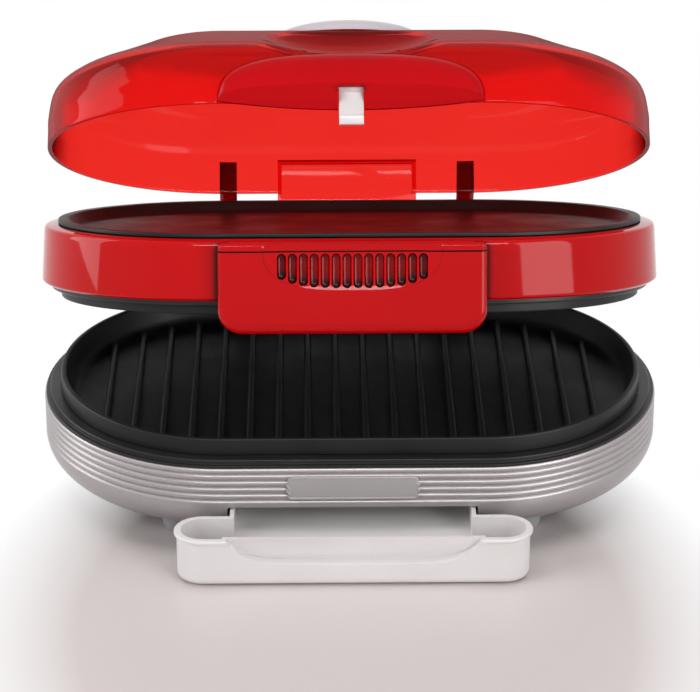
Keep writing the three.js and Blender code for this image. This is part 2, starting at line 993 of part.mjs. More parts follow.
// the finger scoop in the front wall, grown by a wall for the inside
function trayScoop(grow) {
  const { scoopDrop, scoopRise, scoopTopDepth, scoopBottomDepth, top } = tray;
  const low = top - scoopDrop - grow;
  const high = top + overrun;
  const section = shapeOf([
    [trayFront - overrun, low],
    [trayFront + scoopBottomDepth + grow, low],
    [trayFront + scoopTopDepth + grow, high],
    [trayFront - overrun, high],
  ]);
  const [outerShare, innerShare] = scoopShoulderShares;
  const half = trayFrontHalf - tray.scoopEndGap + grow;
  const smile = new THREE.Shape();
  smile.moveTo(-half, high);
  smile.lineTo(-half, top - grow);
  smile.quadraticCurveTo(-half * outerShare, low + scoopRise / 2, -half * innerShare, low + scoopRise / 8);
  smile.quadraticCurveTo(0, low - scoopRise / 8, half * innerShare, low + scoopRise / 8);
  smile.quadraticCurveTo(half * outerShare, low + scoopRise / 2, half, top - grow);
  smile.lineTo(half, high);
  const depth = tray.frontDepth / 2;
  const window = backward(smile, trayFront - overrun, trayFront + depth);
  return across(section, -half - overrun, half + overrun).intersect(window);
}

function dripTray() {
  const { bottom, top, wall, lip, lipHeight, neckGap, neckBackGap } = tray;
  const neck = openingHalf - neckGap;
  const neckBottom = shellFloor + clearance;
  const neckBack = housingBack - housing.wall - neckBackGap;
  const middle = (trayFront + trayBack) / 2;
  const rimShape = stadium(trayFrontHalf + lip, trayFront - lip, trayBack + lip);
  const basinShape = stadium(trayFrontHalf - wall, trayFront + wall, trayBack - wall);
  const front = upward(stadium(trayFrontHalf, trayFront, trayBack), bottom, top);
  const rim = upward(rimShape, top - lipHeight, top);
  const stem = block([-neck, neck], [middle, neckBack], [neckBottom, top]);
  const basin = upward(basinShape, bottom + wall, top + overrun);
  const channel = block(
    [-neck + wall, neck - wall],
    [middle, neckBack - wall],
    [neckBottom + wall, top + overrun],
  );
  const outside = cut(joined(front, rim, stem), trayScoop(0));
  return cut(outside, cut(basin, trayScoop(wall)), channel);
}

// Middle body

const upperTop = upper.bottom + upper.height;

function housingOuterSection(gap) {
  const { bottom, chamfer, chamferHeight, flareInset, shoulderDrop, shoulderInset } = upper;
  return [
    [chamfer - gap, bottom - gap],
    [-gap, bottom + chamferHeight],
    [-gap, bottom + 2 * chamferHeight],
    [flareInset - gap, upperTop - shoulderDrop],
    [flareInset + shoulderDrop / 2 - gap, upperTop - shoulderDrop / 2 + gap],
    [shoulderInset, upperTop + gap],
  ];
}

function upperHousing() {
  const { bottom, wall, chamferHeight, flareInset, shoulderDrop, ledgeInset, ledgeThickness } = upper;
  return ringSolid([
    ...housingOuterSection(0),
    [ledgeInset, upperTop],
    [ledgeInset, upperTop - ledgeThickness],
    [flareInset + 2 * wall, upperTop - ledgeThickness],
    [flareInset + wall, upperTop - shoulderDrop - ledgeThickness],
    [wall + chamferHeight / 2, bottom + 2 * chamferHeight],
    [middleCollar.outerInset - clearance, bottom],
  ]);
}

function bunTraySolid() {
  const { outerInset, rimHeight, rimRound, rimInner, floorInset, floorDrop, sheet } = bunTray;
  const low = upperTop + clearance;
  const high = low + rimHeight;
  const floor = upperTop - floorDrop + sheet;
  const neckInset = upper.ledgeInset + clearance;
  return ringSolid([
    [axisInset, floor - sheet],
    [floorInset - sheet / 2, floor - sheet],
    [neckInset, floor],
    [neckInset, low],
    [outerInset, low],
    [outerInset, high - rimRound],
    [outerInset + rimRound, high],
    [rimInner - rimRound, high],
    [rimInner, high - rimRound],
    [floorInset - sheet / 2, floor + rimRound],
    [floorInset, floor],
    [axisInset, floor],
  ]);
}

function middleCollarSolid() {
  const { outerInset, innerInset, drop, bevel, rise } = middleCollar;
  return ringSolid([
    [outerInset, upper.bottom + rise],
    [outerInset, upper.bottom - drop + bevel],
    [outerInset + bevel, upper.bottom - drop],
    [innerInset, upper.bottom - drop],
    [innerInset, upper.bottom + rise],
  ]);
}

const upperPlateFloor = upper.bottom - upperPlate.floorDrop;
const upperPlateBack = upperPlateFloor + upperPlate.floorThickness;

function upperGrillPlate() {
  const { outerInset, rimDrop, rimWidth, rimRound, floorInset, flangeRise, flangeInset } = upperPlate;
  const low = upper.bottom - rimDrop;
  const high = upper.bottom + flangeRise;
  const plate = ringSolid([
    [outerInset, high],
    [outerInset, low + rimRound],
    [outerInset + rimRound, low],
    [outerInset + rimWidth - rimRound, low],
    [outerInset + rimWidth, low + rimRound],
    [floorInset, upperPlateFloor],
    [axisInset, upperPlateFloor],
    [axisInset, upperPlateBack],
    [flangeInset, upperPlateBack],
    [flangeInset, high],
  ]);
  const crest = upperPlateFloor - upperPlate.ribHeight;
  const root = upperPlateFloor + upperPlate.floorThickness / 2;
  return joined(plate, ...ribs(upperPlate, root, crest, floorInset));
}

const upperElementHeight = upperPlateBack + clearance + element.radius;
const upperReflectorFloor = upperElementHeight + element.radius + reflector.elementGap + reflector.sheet;

function upperReflector() {
  return dish(upperPlateBack + clearance, upperReflectorFloor);
}

function roundedPlate(halfWidth, low, high, lowerRadius, upperRadius) {
  return shapeOf([
    ...arcPoints(-halfWidth + lowerRadius, low + lowerRadius, lowerRadius, 2),
    ...arcPoints(halfWidth - lowerRadius, low + lowerRadius, lowerRadius, 3),
    ...arcPoints(halfWidth - upperRadius, high - upperRadius, upperRadius, 0),
    ...arcPoints(-halfWidth + upperRadius, high - upperRadius, upperRadius, 1),
  ]);
}

const tongueHalf = fromSide(tongue.sideInset);
const grooveHalf = tongueHalf - tongue.grooveEndGap;

function flutes(face) {
  const { fluteCount, flutePitch, fluteRadius, fluteDepth, fluteTopDrop, fluteLength, fluteSag } = tongue;
  const tools = [];
  for (let i = 0; i < fluteCount; i += 1) {
    const place = i - (fluteCount - 1) / 2;
    const sag = fluteSag * Math.cos((Math.PI / 2) * (place / (fluteCount / 2)));
    const high = tongue.top - fluteTopDrop;
    const x = place * flutePitch;
    const y = face - fluteRadius + fluteDepth;
    tools.push(drumAlongZ(fluteRadius, high - fluteLength - sag, high, x, y, roundSides / 2));
  }
  return tools;
}

function frontHandle() {
  const { proud, drop, top, lowerCorner, upperCorner, lowerFillet, upperFillet, wall } = tongue;
  const low = upper.bottom - drop;
  const face = frontFace - proud;
  const back = frontFace + upper.flareInset + overrun;
  const front = backward(roundedPlate(tongueHalf, low, top, lowerCorner, upperCorner), face, back);
  const side = shapeOf([
    [back, top],
    [face + upperFillet, top],
    [face, top - upperFillet],
    ...arcPoints(face + lowerFillet, low + lowerFillet, lowerFillet, 2),
    [back, low],
  ]);
  const whole = front.intersect(across(side, -tongueHalf - overrun, tongueHalf + overrun));
  const hollow = block(
    [-tongueHalf + 2 * wall, tongueHalf - 2 * wall],
    [face + wall, back + overrun],
    [upper.bottom + wall, top - 2 * wall],
  );
  const below = block(
    [-tongueHalf - overrun, tongueHalf + overrun],
    [frontFace - clearance, back + overrun],
    [low - overrun, upper.bottom + upper.chamferHeight],
  );
  const seam = block(
    [-tongueHalf + wall, tongueHalf - wall],
    [face - overrun, face + tongue.seamDepth],
    [top - tongue.seamDrop - tongue.seamHeight, top - tongue.seamDrop],
  );
  const housingRoom = ringSolid([
    [axisInset, upper.bottom - clearance],
    ...housingOuterSection(clearance),
    [axisInset, upperTop + clearance],
  ]);
  return cut(whole, housingRoom, hollow, below, seam, lipGroove(), latchSlot(), ...flutes(face));
}

const lipBack = frontFace + lid.inset - lidGrip.lipGap;
const lipFront = lipBack - lidGrip.lipThickness;
const latchPivot = { y: frontFace - latch.ahead, z: lid.rim + latch.pivotHeight, pinRadius: latch.pinRadius };

// the groove behind the tongue's top edge that the lip of the lid's handle drops into
function lipGroove() {
  return block(
    [-grooveHalf, grooveHalf],
    [lipFront - tongue.grooveRun, frontFace + overrun],
    [tongue.top - tongue.wall, tongue.top + overrun],
  );
}

// the slot in the tongue's top that the latch drops into
function latchSlot() {
  const half = latch.halfWidth + latch.slotGap;
  return block(
    [-half, half],
    [frontFace - latch.slotRun, frontFace],
    [tongue.top - 2 * tongue.wall - overrun, tongue.top + overrun],
  );
}

// Lid

const gripHalf = fromSide(lidGrip.sideInset);

function recessTool(grow) {
  const ball = new THREE.SphereGeometry(1, 4 * endSteps, 2 * endSteps);
  ball.rotateX(Math.PI / 2);
  ball.scale(recess.halfWidth + grow, recess.halfDepth + grow, recess.halfHeight + grow);
  ball.translate(0, frontFace + recess.frontInset, lid.rim + recess.height);
  return solidOf(ball);
}

const rearPlateHalf = armInner - rearPlate.armGap;

function lidRearPlate() {
  const { wall, flange, above, below } = rearPlate;
  const half = rearPlateHalf;
  const high = lid.rim + above;
  const back = rearFace + wall;
  const reach = rearFace - lid.inset - 2 * lid.wall;
  const pan = block([-half, half], [reach, back], [lid.rim + clearance, high]);
  const skirt = block([-half, half], [rearFace, back], [lid.rim - below, high]);
  const inside = block(
    [-half + wall, half - wall],
    [reach - overrun, rearFace],
    [lid.rim, high - flange],
  );
  return cut(joined(pan, skirt), inside, domeRoom(clearance));
}

// the cut-out in the dome's rear wall, behind which the rear plate stands
function rearCutOut() {
  const { wall, flange, above } = rearPlate;
  return block(
    [-rearPlateHalf + wall, rearPlateHalf - wall],
    [rearFace - lid.inset - 3 * lid.wall, rearFace],
    [lid.rim - overrun, lid.rim + above - flange],
  );
}

function lidDome() {
  const outerWall = domeWall.map(([inset, height]) => [lid.inset + inset, lid.rim + height]);
  const top = lid.rim + lid.height;
  const outer = ringSolid([[axisInset, lid.rim], ...outerWall, [axisInset, top]]);
  const innerWall = domeWall.slice(1).map(([inset, height]) => {
    const level = height / lid.height;
    return [lid.inset + inset + lid.wall * (1 - (3 / 4) * level), lid.rim + height - lid.wall * level];
  });
  const inner = ringSolid([
    [axisInset, lid.rim - overrun],
    [lid.inset + lid.wall, lid.rim - overrun],
    ...innerWall,
    [axisInset, top - lid.wall],
  ]);
  return cut(cut(outer, recessTool(0)), cut(inner, recessTool(lid.wall)), rearCutOut());
}

// the bulge of the handle, drawn in from its outside by a wall
function gripBulge(wall) {
  const { height, lipDrop, lipThickness, noseHeight, archSteps } = lidGrip;
  const { rim } = lid;
  const half = gripHalf - wall;
  const proud = lidGrip.proud - wall;
  const wallLine = frontFace + lid.inset;
  const face = wallLine - proud;
  const back = wallLine + lidGrip.proud;
  const high = rim + height - wall;
  const nose = rim + noseHeight;
  const floor = rim + clearance + wall;
  const lip = wall === 0 ? [[lipBack, rim - lipDrop], [lipFront, rim - lipDrop]] : [];
  const crown = archPoints(proud, high - nose, 2, archSteps).slice(archSteps / 2);
  const section = shapeOf([
    [back, floor],
    [lipBack, floor],
    ...lip,
    [face, nose],
    ...crown.reverse().slice(1).map(([y, z]) => [wallLine + y, nose + z]),
    [back, high],
  ]);
  const planArch = archPoints(half, proud, gripPlanPower, archSteps).map(([x, y]) => [x, wallLine - y]);
  const viewArch = archPoints(half, high - rim, gripViewPower, archSteps).map(([x, z]) => [x, rim + z]);
  const sag = [];
  for (let i = 1; i < archSteps; i += 1) {
    const share = (2 * i) / archSteps - 1;
    sag.push([share * half, rim - lipDrop * (1 - share ** 2)]);
  }
  const plan = shapeOf([...planArch, [-half, back], [half, back]]);
  return across(section, -half, half)
    .intersect(upward(plan, rim - lipDrop - overrun, high + overrun))
    .intersect(backward(shapeOf([...viewArch, ...sag]), face - overrun, back));
}

function lidHandle() {
  const { halfWidth, boss, thickness, swing, knuckleRadius } = latch;
  const { y, z } = latchPivot;
  const inner = halfWidth + runningGap;
  const outer = inner + boss;
  const wallLine = frontFace + lid.inset;
  const bossBlock = (side) => mirrored(block(
    [inner, outer],
    [wallLine - lidGrip.proud, wallLine],
    [lid.rim, z + 2 * knuckleRadius],
  ), side).intersect(gripBulge(0));
  const slot = block(
    [-inner, inner],
    [y - thickness / 2 - swing, wallLine],
    [lid.rim - lidGrip.lipDrop - overrun, z],
  );
  const eyeRoom = drumAlongX(knuckleRadius + runningGap, -inner, inner, y, z);
  const bore = drumAlongX(latch.pinRadius + clearance, -outer - overrun, outer + overrun, y, z);
  const hollowed = cut(gripBulge(0), gripBulge(lidGrip.wall));
  const whole = joined(hollowed, bossBlock(1), bossBlock(-1));
  return cut(whole, bore, slot, eyeRoom, domeRoom(clearance));
}

function latchPin() {
  const reach = latch.halfWidth + runningGap + latch.boss;
  return drumAlongX(latch.pinRadius, -reach, reach, latchPivot.y, latchPivot.z);
}

function latchClip() {
  const { halfWidth, thickness, knuckleRadius, drop, hook, hookHeight } = latch;
  const { y, z } = latchPivot;
  const low = lid.rim - drop;
  const front = y - thickness / 2;
  const back = y + thickness / 2;
  const blade = across(shapeOf([
    [back, z],
    [front, z],
    [front, low + hookHeight],
    [front - hook, low + hookHeight - hook],
    [front, low],
    [back, low],
  ]), -halfWidth, halfWidth);
  const eye = drumAlongX(knuckleRadius, -halfWidth, halfWidth, y, z);
  const bore = drumAlongX(latch.pinRadius + clearance, -halfWidth - overrun, halfWidth + overrun, y, z);
  return cut(joined(blade, eye), bore);
}

function lidMedallion() {
  const { halfWidth, halfDepth, frontInset, rise, rings, sides } = medallion;
  const profile = [new THREE.Vector2(0, 0)];
  for (let i = 0; i <= rings; i += 1) {
    const angle = (i / rings) * (Math.PI / 2);
    profile.push(new THREE.Vector2(Math.cos(angle), Math.sin(angle)));
  }
  const cap = new THREE.LatheGeometry(profile, sides);
  cap.rotateX(Math.PI / 2);
  cap.scale(halfWidth, halfDepth, rise + lid.wall);
  cap.translate(0, frontFace + frontInset, lid.rim + lid.height - lid.wall);
  return cut(solidOf(cap), domeRoom(clearance));
}

// Assembly

const object = new THREE.Group();

// a group that turns about a hinge across the appliance; its pieces are drawn shut
function opened(parent, place, angle) {
  const turning = new THREE.Group();
  turning.position.set(0, place.y, place.z);
  turning.rotation.x = -angle;
  const drawn = new THREE.Group();
  drawn.position.set(0, -place.y, -place.z);
  turning.add(drawn);
  parent.add(turning);
  return drawn;
}

const appliance = new THREE.Group();
object.add(appliance);

const base = new THREE.Group();
appliance.add(base);
base.add(piece('base_shell', baseShell(), silver()));
base.add(piece('badge_plate', badgePlate(), silver()));
base.add(piece('base_collar', baseCollar(), ringBlack()));
base.add(piece('lower_grill_plate', lowerGrillPlate(), castBlack()));
base.add(piece('drip_spout', dripSpout(), sheetSteel()));
base.add(piece('lower_heating_element', heatingElement(lowerElementHeight), sheetSteel()));
base.add(piece('lower_reflector', lowerReflector(), sheetSteel()));
base.add(piece('thermostat', thermostatBody(), ringBlack()));
base.add(piece('thermal_fuse', thermalFuse(), trayWhite()));
base.add(piece('terminal_block', terminalBlock(), trayWhite()));
base.add(piece('tray_housing', trayHousing(), ringBlack()));
base.add(piece('bottom_cover', bottomCover(), ringBlack()));
coverScrewPlaces().forEach(([x, y], i) => {
  base.add(piece(`bottom_screw_${i + 1}`, coverScrewSolid(x, y), sheetSteel()));
});
base.add(piece('cord_gland', cordGland(), ringBlack()));
for (const [side, word] of [[-1, 'left'], [1, 'right']]) {
  const x = side * fromSide(foot.sideInset);
  base.add(piece(`foot_front_${word}`, footSolid(x, frontFace + foot.faceInset), footGrey()));
  base.add(piece(`foot_rear_${word}`, footSolid(x, rearFace - foot.faceInset), footGrey()));
}
for (const [side, word] of [[-1, 'left'], [1, 'right']]) {
  base.add(piece(`hinge_bracket_${word}`, hingeBracket(side), ringBlack()));
  base.add(piece(`hinge_pin_${word}`, hingePin(bodyHinge, cheekInner[0], cheekOuter[1], side), sheetSteel()));
}

const slider = new THREE.Group();
appliance.add(slider);
slider.add(piece('drip_tray', dripTray(), trayWhite()));

const middle = opened(appliance, bodyHinge, middleOpenAngle);
middle.add(piece('upper_housing', upperHousing(), glossRed()));
middle.add(piece('front_handle', frontHandle(), glossRed()));
middle.add(piece('bun_tray', bunTraySolid(), castBlack()));
middle.add(piece('middle_collar', middleCollarSolid(), ringBlack()));
middle.add(piece('upper_grill_plate', upperGrillPlate(), castBlack()));
middle.add(piece('upper_heating_element', heatingElement(upperElementHeight), sheetSteel()));
middle.add(piece('upper_reflector', upperReflector(), sheetSteel()));
for (const [side, word] of [[-1, 'left'], [1, 'right']]) {
  middle.add(piece(`middle_hinge_arm_${word}`, middleHingeArm(side), ringBlack()));
  middle.add(piece(`lid_pin_${word}`, hingePin(lidHinge, armSpan[0], cheekOuter[1], side), sheetSteel()));
}

const lidGroup = opened(middle, lidHinge, lidOpenAngle);
lidGroup.add(piece('lid_dome', lidDome(), clearRed()));
lidGroup.add(piece('lid_rear_plate', lidRearPlate(), clearRed()));
lidGroup.add(piece('lid_handle', lidHandle(), clearRed()));
lidGroup.add(piece('lid_medallion', lidMedallion(), medallionGrey()));
lidGroup.add(piece('latch_pin', latchPin(), sheetSteel()));
lidGroup.add(piece('lid_hinge_ear_left', lidHingeEar(-1), glossRed()));
lidGroup.add(piece('lid_hinge_ear_right', lidHingeEar(1), glossRed()));

const clipGroup = new THREE.Group();
lidGroup.add(clipGroup);
clipGroup.add(piece('latch_clip', latchClip(), clipWhite()));

// the origin goes under the middle of the whole appliance
const span = new THREE.Box3().setFromObject(appliance, true);
appliance.position.y = -(span.min.y + span.max.y) / 2;

export default object;
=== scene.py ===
import json
import math

import bmesh
import bpy
from mathutils import Matrix, Vector

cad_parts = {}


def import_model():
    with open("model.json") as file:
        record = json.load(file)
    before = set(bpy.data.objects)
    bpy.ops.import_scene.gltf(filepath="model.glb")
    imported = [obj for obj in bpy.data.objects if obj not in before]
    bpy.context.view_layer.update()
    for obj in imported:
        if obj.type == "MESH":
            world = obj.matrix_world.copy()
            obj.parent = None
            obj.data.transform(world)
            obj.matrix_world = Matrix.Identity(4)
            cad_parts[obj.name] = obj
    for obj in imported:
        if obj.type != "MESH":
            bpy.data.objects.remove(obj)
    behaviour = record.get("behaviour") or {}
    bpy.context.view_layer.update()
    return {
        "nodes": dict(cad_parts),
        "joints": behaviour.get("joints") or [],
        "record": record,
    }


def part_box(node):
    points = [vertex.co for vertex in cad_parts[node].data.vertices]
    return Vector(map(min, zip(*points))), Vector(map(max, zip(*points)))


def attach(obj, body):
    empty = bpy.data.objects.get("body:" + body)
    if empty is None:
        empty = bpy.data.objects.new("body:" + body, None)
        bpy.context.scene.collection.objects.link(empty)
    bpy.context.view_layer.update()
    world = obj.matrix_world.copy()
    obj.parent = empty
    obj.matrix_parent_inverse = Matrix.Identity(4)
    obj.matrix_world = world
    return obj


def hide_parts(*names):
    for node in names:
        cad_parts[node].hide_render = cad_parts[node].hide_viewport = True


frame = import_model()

# All shapes below are drawn in millimetres with the appliance shut, as in the part's source.

MM = 0.001
BODY_WIDTH = 318
BODY_DEPTH = 201
END_LENGTH = 94  # length of the rounded part at each end
FRONT = -BODY_DEPTH / 2
REAR = BODY_DEPTH / 2
GAP = 0.3  # between pieces that touch
OVERRUN = 3  # how far a cutting tool reaches past what it cuts
SLIVER = 0.02  # the smallest step between two points of a section
TINY = 1e-6
MERGED = 1e-4  # points of a drawn piece that are nearer than this become one
CORNER_SHARE = 0.48  # the most that a rounded corner takes of the side next to it
AXIS = BODY_DEPTH / 2  # the inset at which the outline has shrunk to its middle line
DEEP = 60  # from this inset on the outline shrinks evenly
END_STEPS = 26  # steps in a quarter of an end
SIDE_STEPS = 22  # steps along the straight front or back
SHARP = math.radians(40)  # an edge that turns more than this is shown sharp
BLUNT = math.radians(50)  # the same for the castings and the tray

SHELL = {
    "bottom": 9,
    "wall": 2.4,
    "bowl_inset": 26,
    "bowl_top": 27.5,
    "top": 47.5,
    "grooves": 5,
    "groove_depth": 1.0,
    "groove_margin": 2.1,
    "groove_share": 0.42,  # half a groove's width as a share of the pitch
    "groove_power": 2.2,
    "groove_steps": 10,
    "edge": ((0.6, 0), (0.1, 0.5)),  # insets and drops of the points at the top
    "edge_room": 0.7,
    "foot": 0.6,
    "bowl_power": 0.95,  # 1 is a quarter of an ellipse, and less is fuller
    "bowl_steps": 22,
}
COLLAR = {
    "band_inset": 0.8,
    "band_height": 1.2,
    "flange_inset": 3,
    "flange_top": 51.3,
    "inner_inset": 11.3,
    "thickness": 2,
    "skirt": 2.5,
    "skirt_wall": 2.4,
    "edge": 0.7,
    "corner": 0.3,
}
RIB_SLOPE = 0.35  # how much a rib's end leans back over its height
RIB_CORNER = 0.8
LOWER_PLATE = {
    "outer_inset": 8.4,
    "rim_top": 60,
    "rim_width": 2.4,
    "rim_lean": 0.5,
    "basin_inset": 11.8,
    "floor_inset": 16.5,
    "floor_top": 46,
    "floor": 3,
    "ribs": 18,
    "rib_pitch": 14.7,
    "rib_base": 4.6,
    "rib_crest": 2.4,
    "rib_height": 3.6,
    "rib_gap": 3,
    "drain_radius": 4,
    "drain_front": 72,
    "root": 1,  # of the ribs, above the underside
    "floor_round": 2.5,
    "foot_round": 1.5,
    "rim_round": 0.9,
    "seat_round": 0.2,
    "corner": 0.5,
}
FOOT = {
    "across": 87.5,
    "along": 68,
    "radius": 7.6,
    "top_radius": 10,
    "height": 8.7,
    "round": 1.2,
    "top_round": 0.6,
}
UPPER = {
    "bottom": 70,
    "top": 100.2,
    "wall": 2.4,
    "chamfer": 2,
    "chamfer_height": 1.4,
    "flare": 1.4,
    "shoulder_drop": 2.6,
    "shoulder_inset": 7.6,
    "ledge_inset": 12.5,
    "ledge": 2.2,
    "bend": 0.7,
    "bend_share": 0.35,
    "chamfer_round": 0.3,
    "foot_round": 0.9,
    "shoulder_round": 1.5,
    "bend_round": 1.2,
    "corner": 0.25,
    "corner_steps": 5,
}
BUN_TRAY = {
    "outer_inset": 8.6,
    "rim_height": 2,
    "rim_inner": 13.9,
    "floor_inset": 17.5,
    "floor_drop": 4.6,
    "sheet": 1.6,
    "rim_round": 0.7,
    "rest_round": 0.3,
    "neck_round": 0.2,
    "foot_round": 0.8,
    "corner": 0.5,
}
MIDDLE_COLLAR = {"outer_inset": 4.8, "inner_inset": 9.5, "drop": 2.7, "rise": 3, "edge": 1, "corner": 0.3}
UPPER_PLATE = {
    "outer_inset": 9.8,
    "rim_drop": 7.3,
    "rim_width": 2.2,
    "floor_inset": 16.5,
    "floor_drop": 3,
    "floor": 3,
    "flange_rise": 2.2,
    "flange_inset": 14,
    "ribs": 22,
    "rib_pitch": 11.5,
    "rib_base": 3.8,
    "rib_crest": 2.2,
    "rib_height": 3,
    "rib_gap": 3,
    "rim_round": 0.8,
    "floor_round": 1.8,
    "corner": 0.4,
}
TRAY_OPENING = {"half": 62.3, "top": 26.5, "corner": 1.2}
TRAY = {
    "bottom": 0.8,
    "top": 25.5,
    "wall": 2,
    "half": 87,
    "front_gap": 8,
    "depth": 25.5,
    "lip": 1.3,
    "lip_height": 1.8,
    "lip_slant": 0.5,
    "lip_rounds": (0.6, 0.5, 0.7),
    "foot_round": 3.5,
    "basin_round": 2.5,
    "core": 6,  # how far in the front part's section starts
    "over": 2,  # how far its tools reach above it
    "neck_gap": 1.3,
    "neck_back": -36.5,
    "scoop_end": 24.5,
    "scoop_drop": 13.6,
    "scoop_rise": 2.4,
    "scoop_depths": (1.4, 6.8),
    "scoop_steps": (12, 20),
    "shoulders": (0.92, 0.56),
    "bevel": (0.35, 2, 50),
}
LID = {"rim": 100.1, "inset": 3, "wall": 2.4, "shoulder": 63, "height": 53.8, "rim_round": 1.1}
LID_WINDOW = {"half": 35.8, "front": 90, "top": 116.5}
DOME_STEPS = (34, 56)
SPLINE_STEPS = 6
# An ellipsoid pushed into the lid, back and down at an angle, with a soft edge
RECESS = {"centre": (0, FRONT + 8.5, 160.1), "radii": (60, 44, 35), "angle": 35, "blend": 1.4, "span": 5}
GRIP = {
    "half": 65.6,
    "proud": 13.5,
    "height": 23.86,
    "nose": 6,
    "wall": 2.2,
    "sag": 4.6,  # how far its lip hangs below the lid's rim
    "lip_front": -102,
    "lip_back": -99.8,
    "lip_step": 0.3,
    "lip_least": 0.5,
    "lip_steps": 5,
    "root": 6,  # how far it is drawn into the lid, whose shape then cuts it off
    "cavity_front": 1,
    "cavity_drop": 1,
    "slot_side": 0.5,
    "slot_drop": 1,
    "plan_power": 3.5,
    "view_power": 3,
    "nose_power": 2.6,
    "crown_power": 2.4,
    "column_power": 2.2,
    "end_share": 0.9995,  # of the half width, so that the last section isn't flat
    "steps": 18,
    "columns": 44,
    "bevel": (0.5, 3, 34),
    "sharp": math.radians(32),
}
CLIP_PIECE = {"half": 6, "pivot_z": 106.1}
MEDALLION = {
    "half_width": 37.4,
    "half_depth": 20,
    "y": -28,
    "low": 151.7,
    "rise": 8.75,
    "rings": 18,
    "sides": 72,
    "tip_share": 0.01,
}
TONGUE = {
    "half": 65.5,
    "face": -109.5,
    "back": FRONT + 3,
    "low": 54.2,
    "top": 99.2,
    "lower_corner": 12,
    "upper_corner": 3,
    "lower_fillet": 7.5,
    "upper_fillet": 1.5,
    "side_fillet": 3.4,
    "fillet_power": 1.6,
    "fillet_steps": 8,
    "corner_steps": 14,
    "wall": 2.6,
    "hollow": 7,  # from the face to the hollow behind it
    "seam_low": 94.8,
    "seam_high": 95.6,
    "seam_depth": 2.5,
    "groove_half": 61,
    "groove_front": -106.2,
    "slot_side": 1.4,
    "sharp": math.radians(35),
    "flutes": 14,
    "flute_pitch": 5.3,
    "flute_radius": 2.2,
    "flute_depth": 1.7,
    "flute_top": 94.2,
    "flute_foot": 0.9,
    "flute_steps": 6,
    "flute_sides": 36,
    "scoop_half": 44,
    "scoop_height": 22.8,
    "scoop_power": 3,
    "scoop_flat": 0.45,
    "scoop_step": 0.15,
    "scoop_depth": 1.45,
    "scoop_sides": 96,
    "scoop_shares": (1, 0.97, 0.94, 0.9, 0.86, 0.8, 0.74, 0.68, 0.62, 0.3, 0.01),
}
BADGE = {
    "half": 33.5,
    "low": 31.2,
    "height": 12.6,
    "back": FRONT - GAP,
    "face": FRONT - 1.4,
    "beads": 4,
    "bead": 1.3,
    "taper": 1.9,
    "edge": ((0, 0.35), (0.12, 0.1), (0.4, 0), (0.9, 0), (1.15, 0.1), (1.25, 0.25)),
    "steps": 40,
    "sharp": math.radians(30),
}
# The lid's section, as shares of the shoulder's inset and of the height
DOME_SHARES = [
    (0, 0), (0.003, 0.16), (0.006, 0.298), (0.046, 0.511), (0.16, 0.631), (0.324, 0.717),
    (0.497, 0.806), (0.651, 0.887), (0.759, 0.937), (1, 0.98), (1.548, 1),
]


# Places: how the drawn, shut bodies come to where they rest


def joint(name):
    return next(j for j in frame["joints"] if j["name"] == name)


def opened(name):
    """The turn about a hinge from shut, its lower limit, to rest."""
    j = joint(name)
    place = Matrix.Translation(Vector(j["pos_m"]))
    angle = -math.radians(j["range_deg"][0])
    return place @ Matrix.Rotation(angle, 4, Vector(j["axis"])) @ place.inverted()


def shift_of_frame():
    low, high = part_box("base_shell")
    return Matrix.Translation((0, (low.y + high.y) / 2, 0)) @ Matrix.Scale(MM, 4)


DRAWN = shift_of_frame()
MIDDLE_OPEN = opened("middle_hinge")
LID_OPEN = opened("lid_hinge")
PLACE = {
    "base": DRAWN,
    "tray": DRAWN,
    "middle": MIDDLE_OPEN @ DRAWN,
    "lid": LID_OPEN @ MIDDLE_OPEN @ DRAWN,
    "clip": LID_OPEN @ MIDDLE_OPEN @ DRAWN,
}


# Outlines and sections


def outline_radii(inset):
    even = min(inset, DEEP)
    left = 1 - max(inset - DEEP, 0) / (AXIS - DEEP)
    return (END_LENGTH - even) * left, (BODY_DEPTH / 2 - even) * left


def outline(inset, end_steps=END_STEPS, side_steps=SIDE_STEPS):
    """Points round the appliance at an inset, from the right end towards the back."""
    radius_x, radius_y = outline_radii(inset)
    centre = BODY_WIDTH / 2 - END_LENGTH
    points = []
    for side, start, straight in ((1, 0, -1), (-1, 1, 0), (-1, 2, 1), (1, 3, 0)):
        for angle in quarter_turn(end_steps, start):
            points.append((side * centre + radius_x * math.cos(angle), radius_y * math.sin(angle)))
        if straight:
            y = radius_y * math.sin(angle)
            for i in range(1, side_steps):
                points.append((straight * centre * (2 * i / side_steps - 1), y))
    return points


def half_depth(x, inset):
    """Half the depth of the outline at a place across."""
    radius_x, radius_y = outline_radii(inset)
    along = max(abs(x) - (BODY_WIDTH / 2 - END_LENGTH), 0) / radius_x
    return radius_y * math.sqrt(max(1 - along**2, 0))


def rounded(points, radius, closed=True, steps=4):
    """A section with its corners rounded. A point may carry a radius of its own."""
    made = []
    count = len(points)
    for i, point in enumerate(points):
        here = Vector(point[:2])
        own = point[2] if len(point) > 2 else radius
        if own <= 0 or (not closed and i in (0, count - 1)):
            made.append(tuple(here))
            continue
        ways = [Vector(points[k][:2]) - here for k in (i - 1, (i + 1) % count)]
        a, b = (here + way.normalized() * min(own, CORNER_SHARE * way.length) for way in ways)
        made += [tuple(a), *curve_through(a, here, b, steps)]
    return made


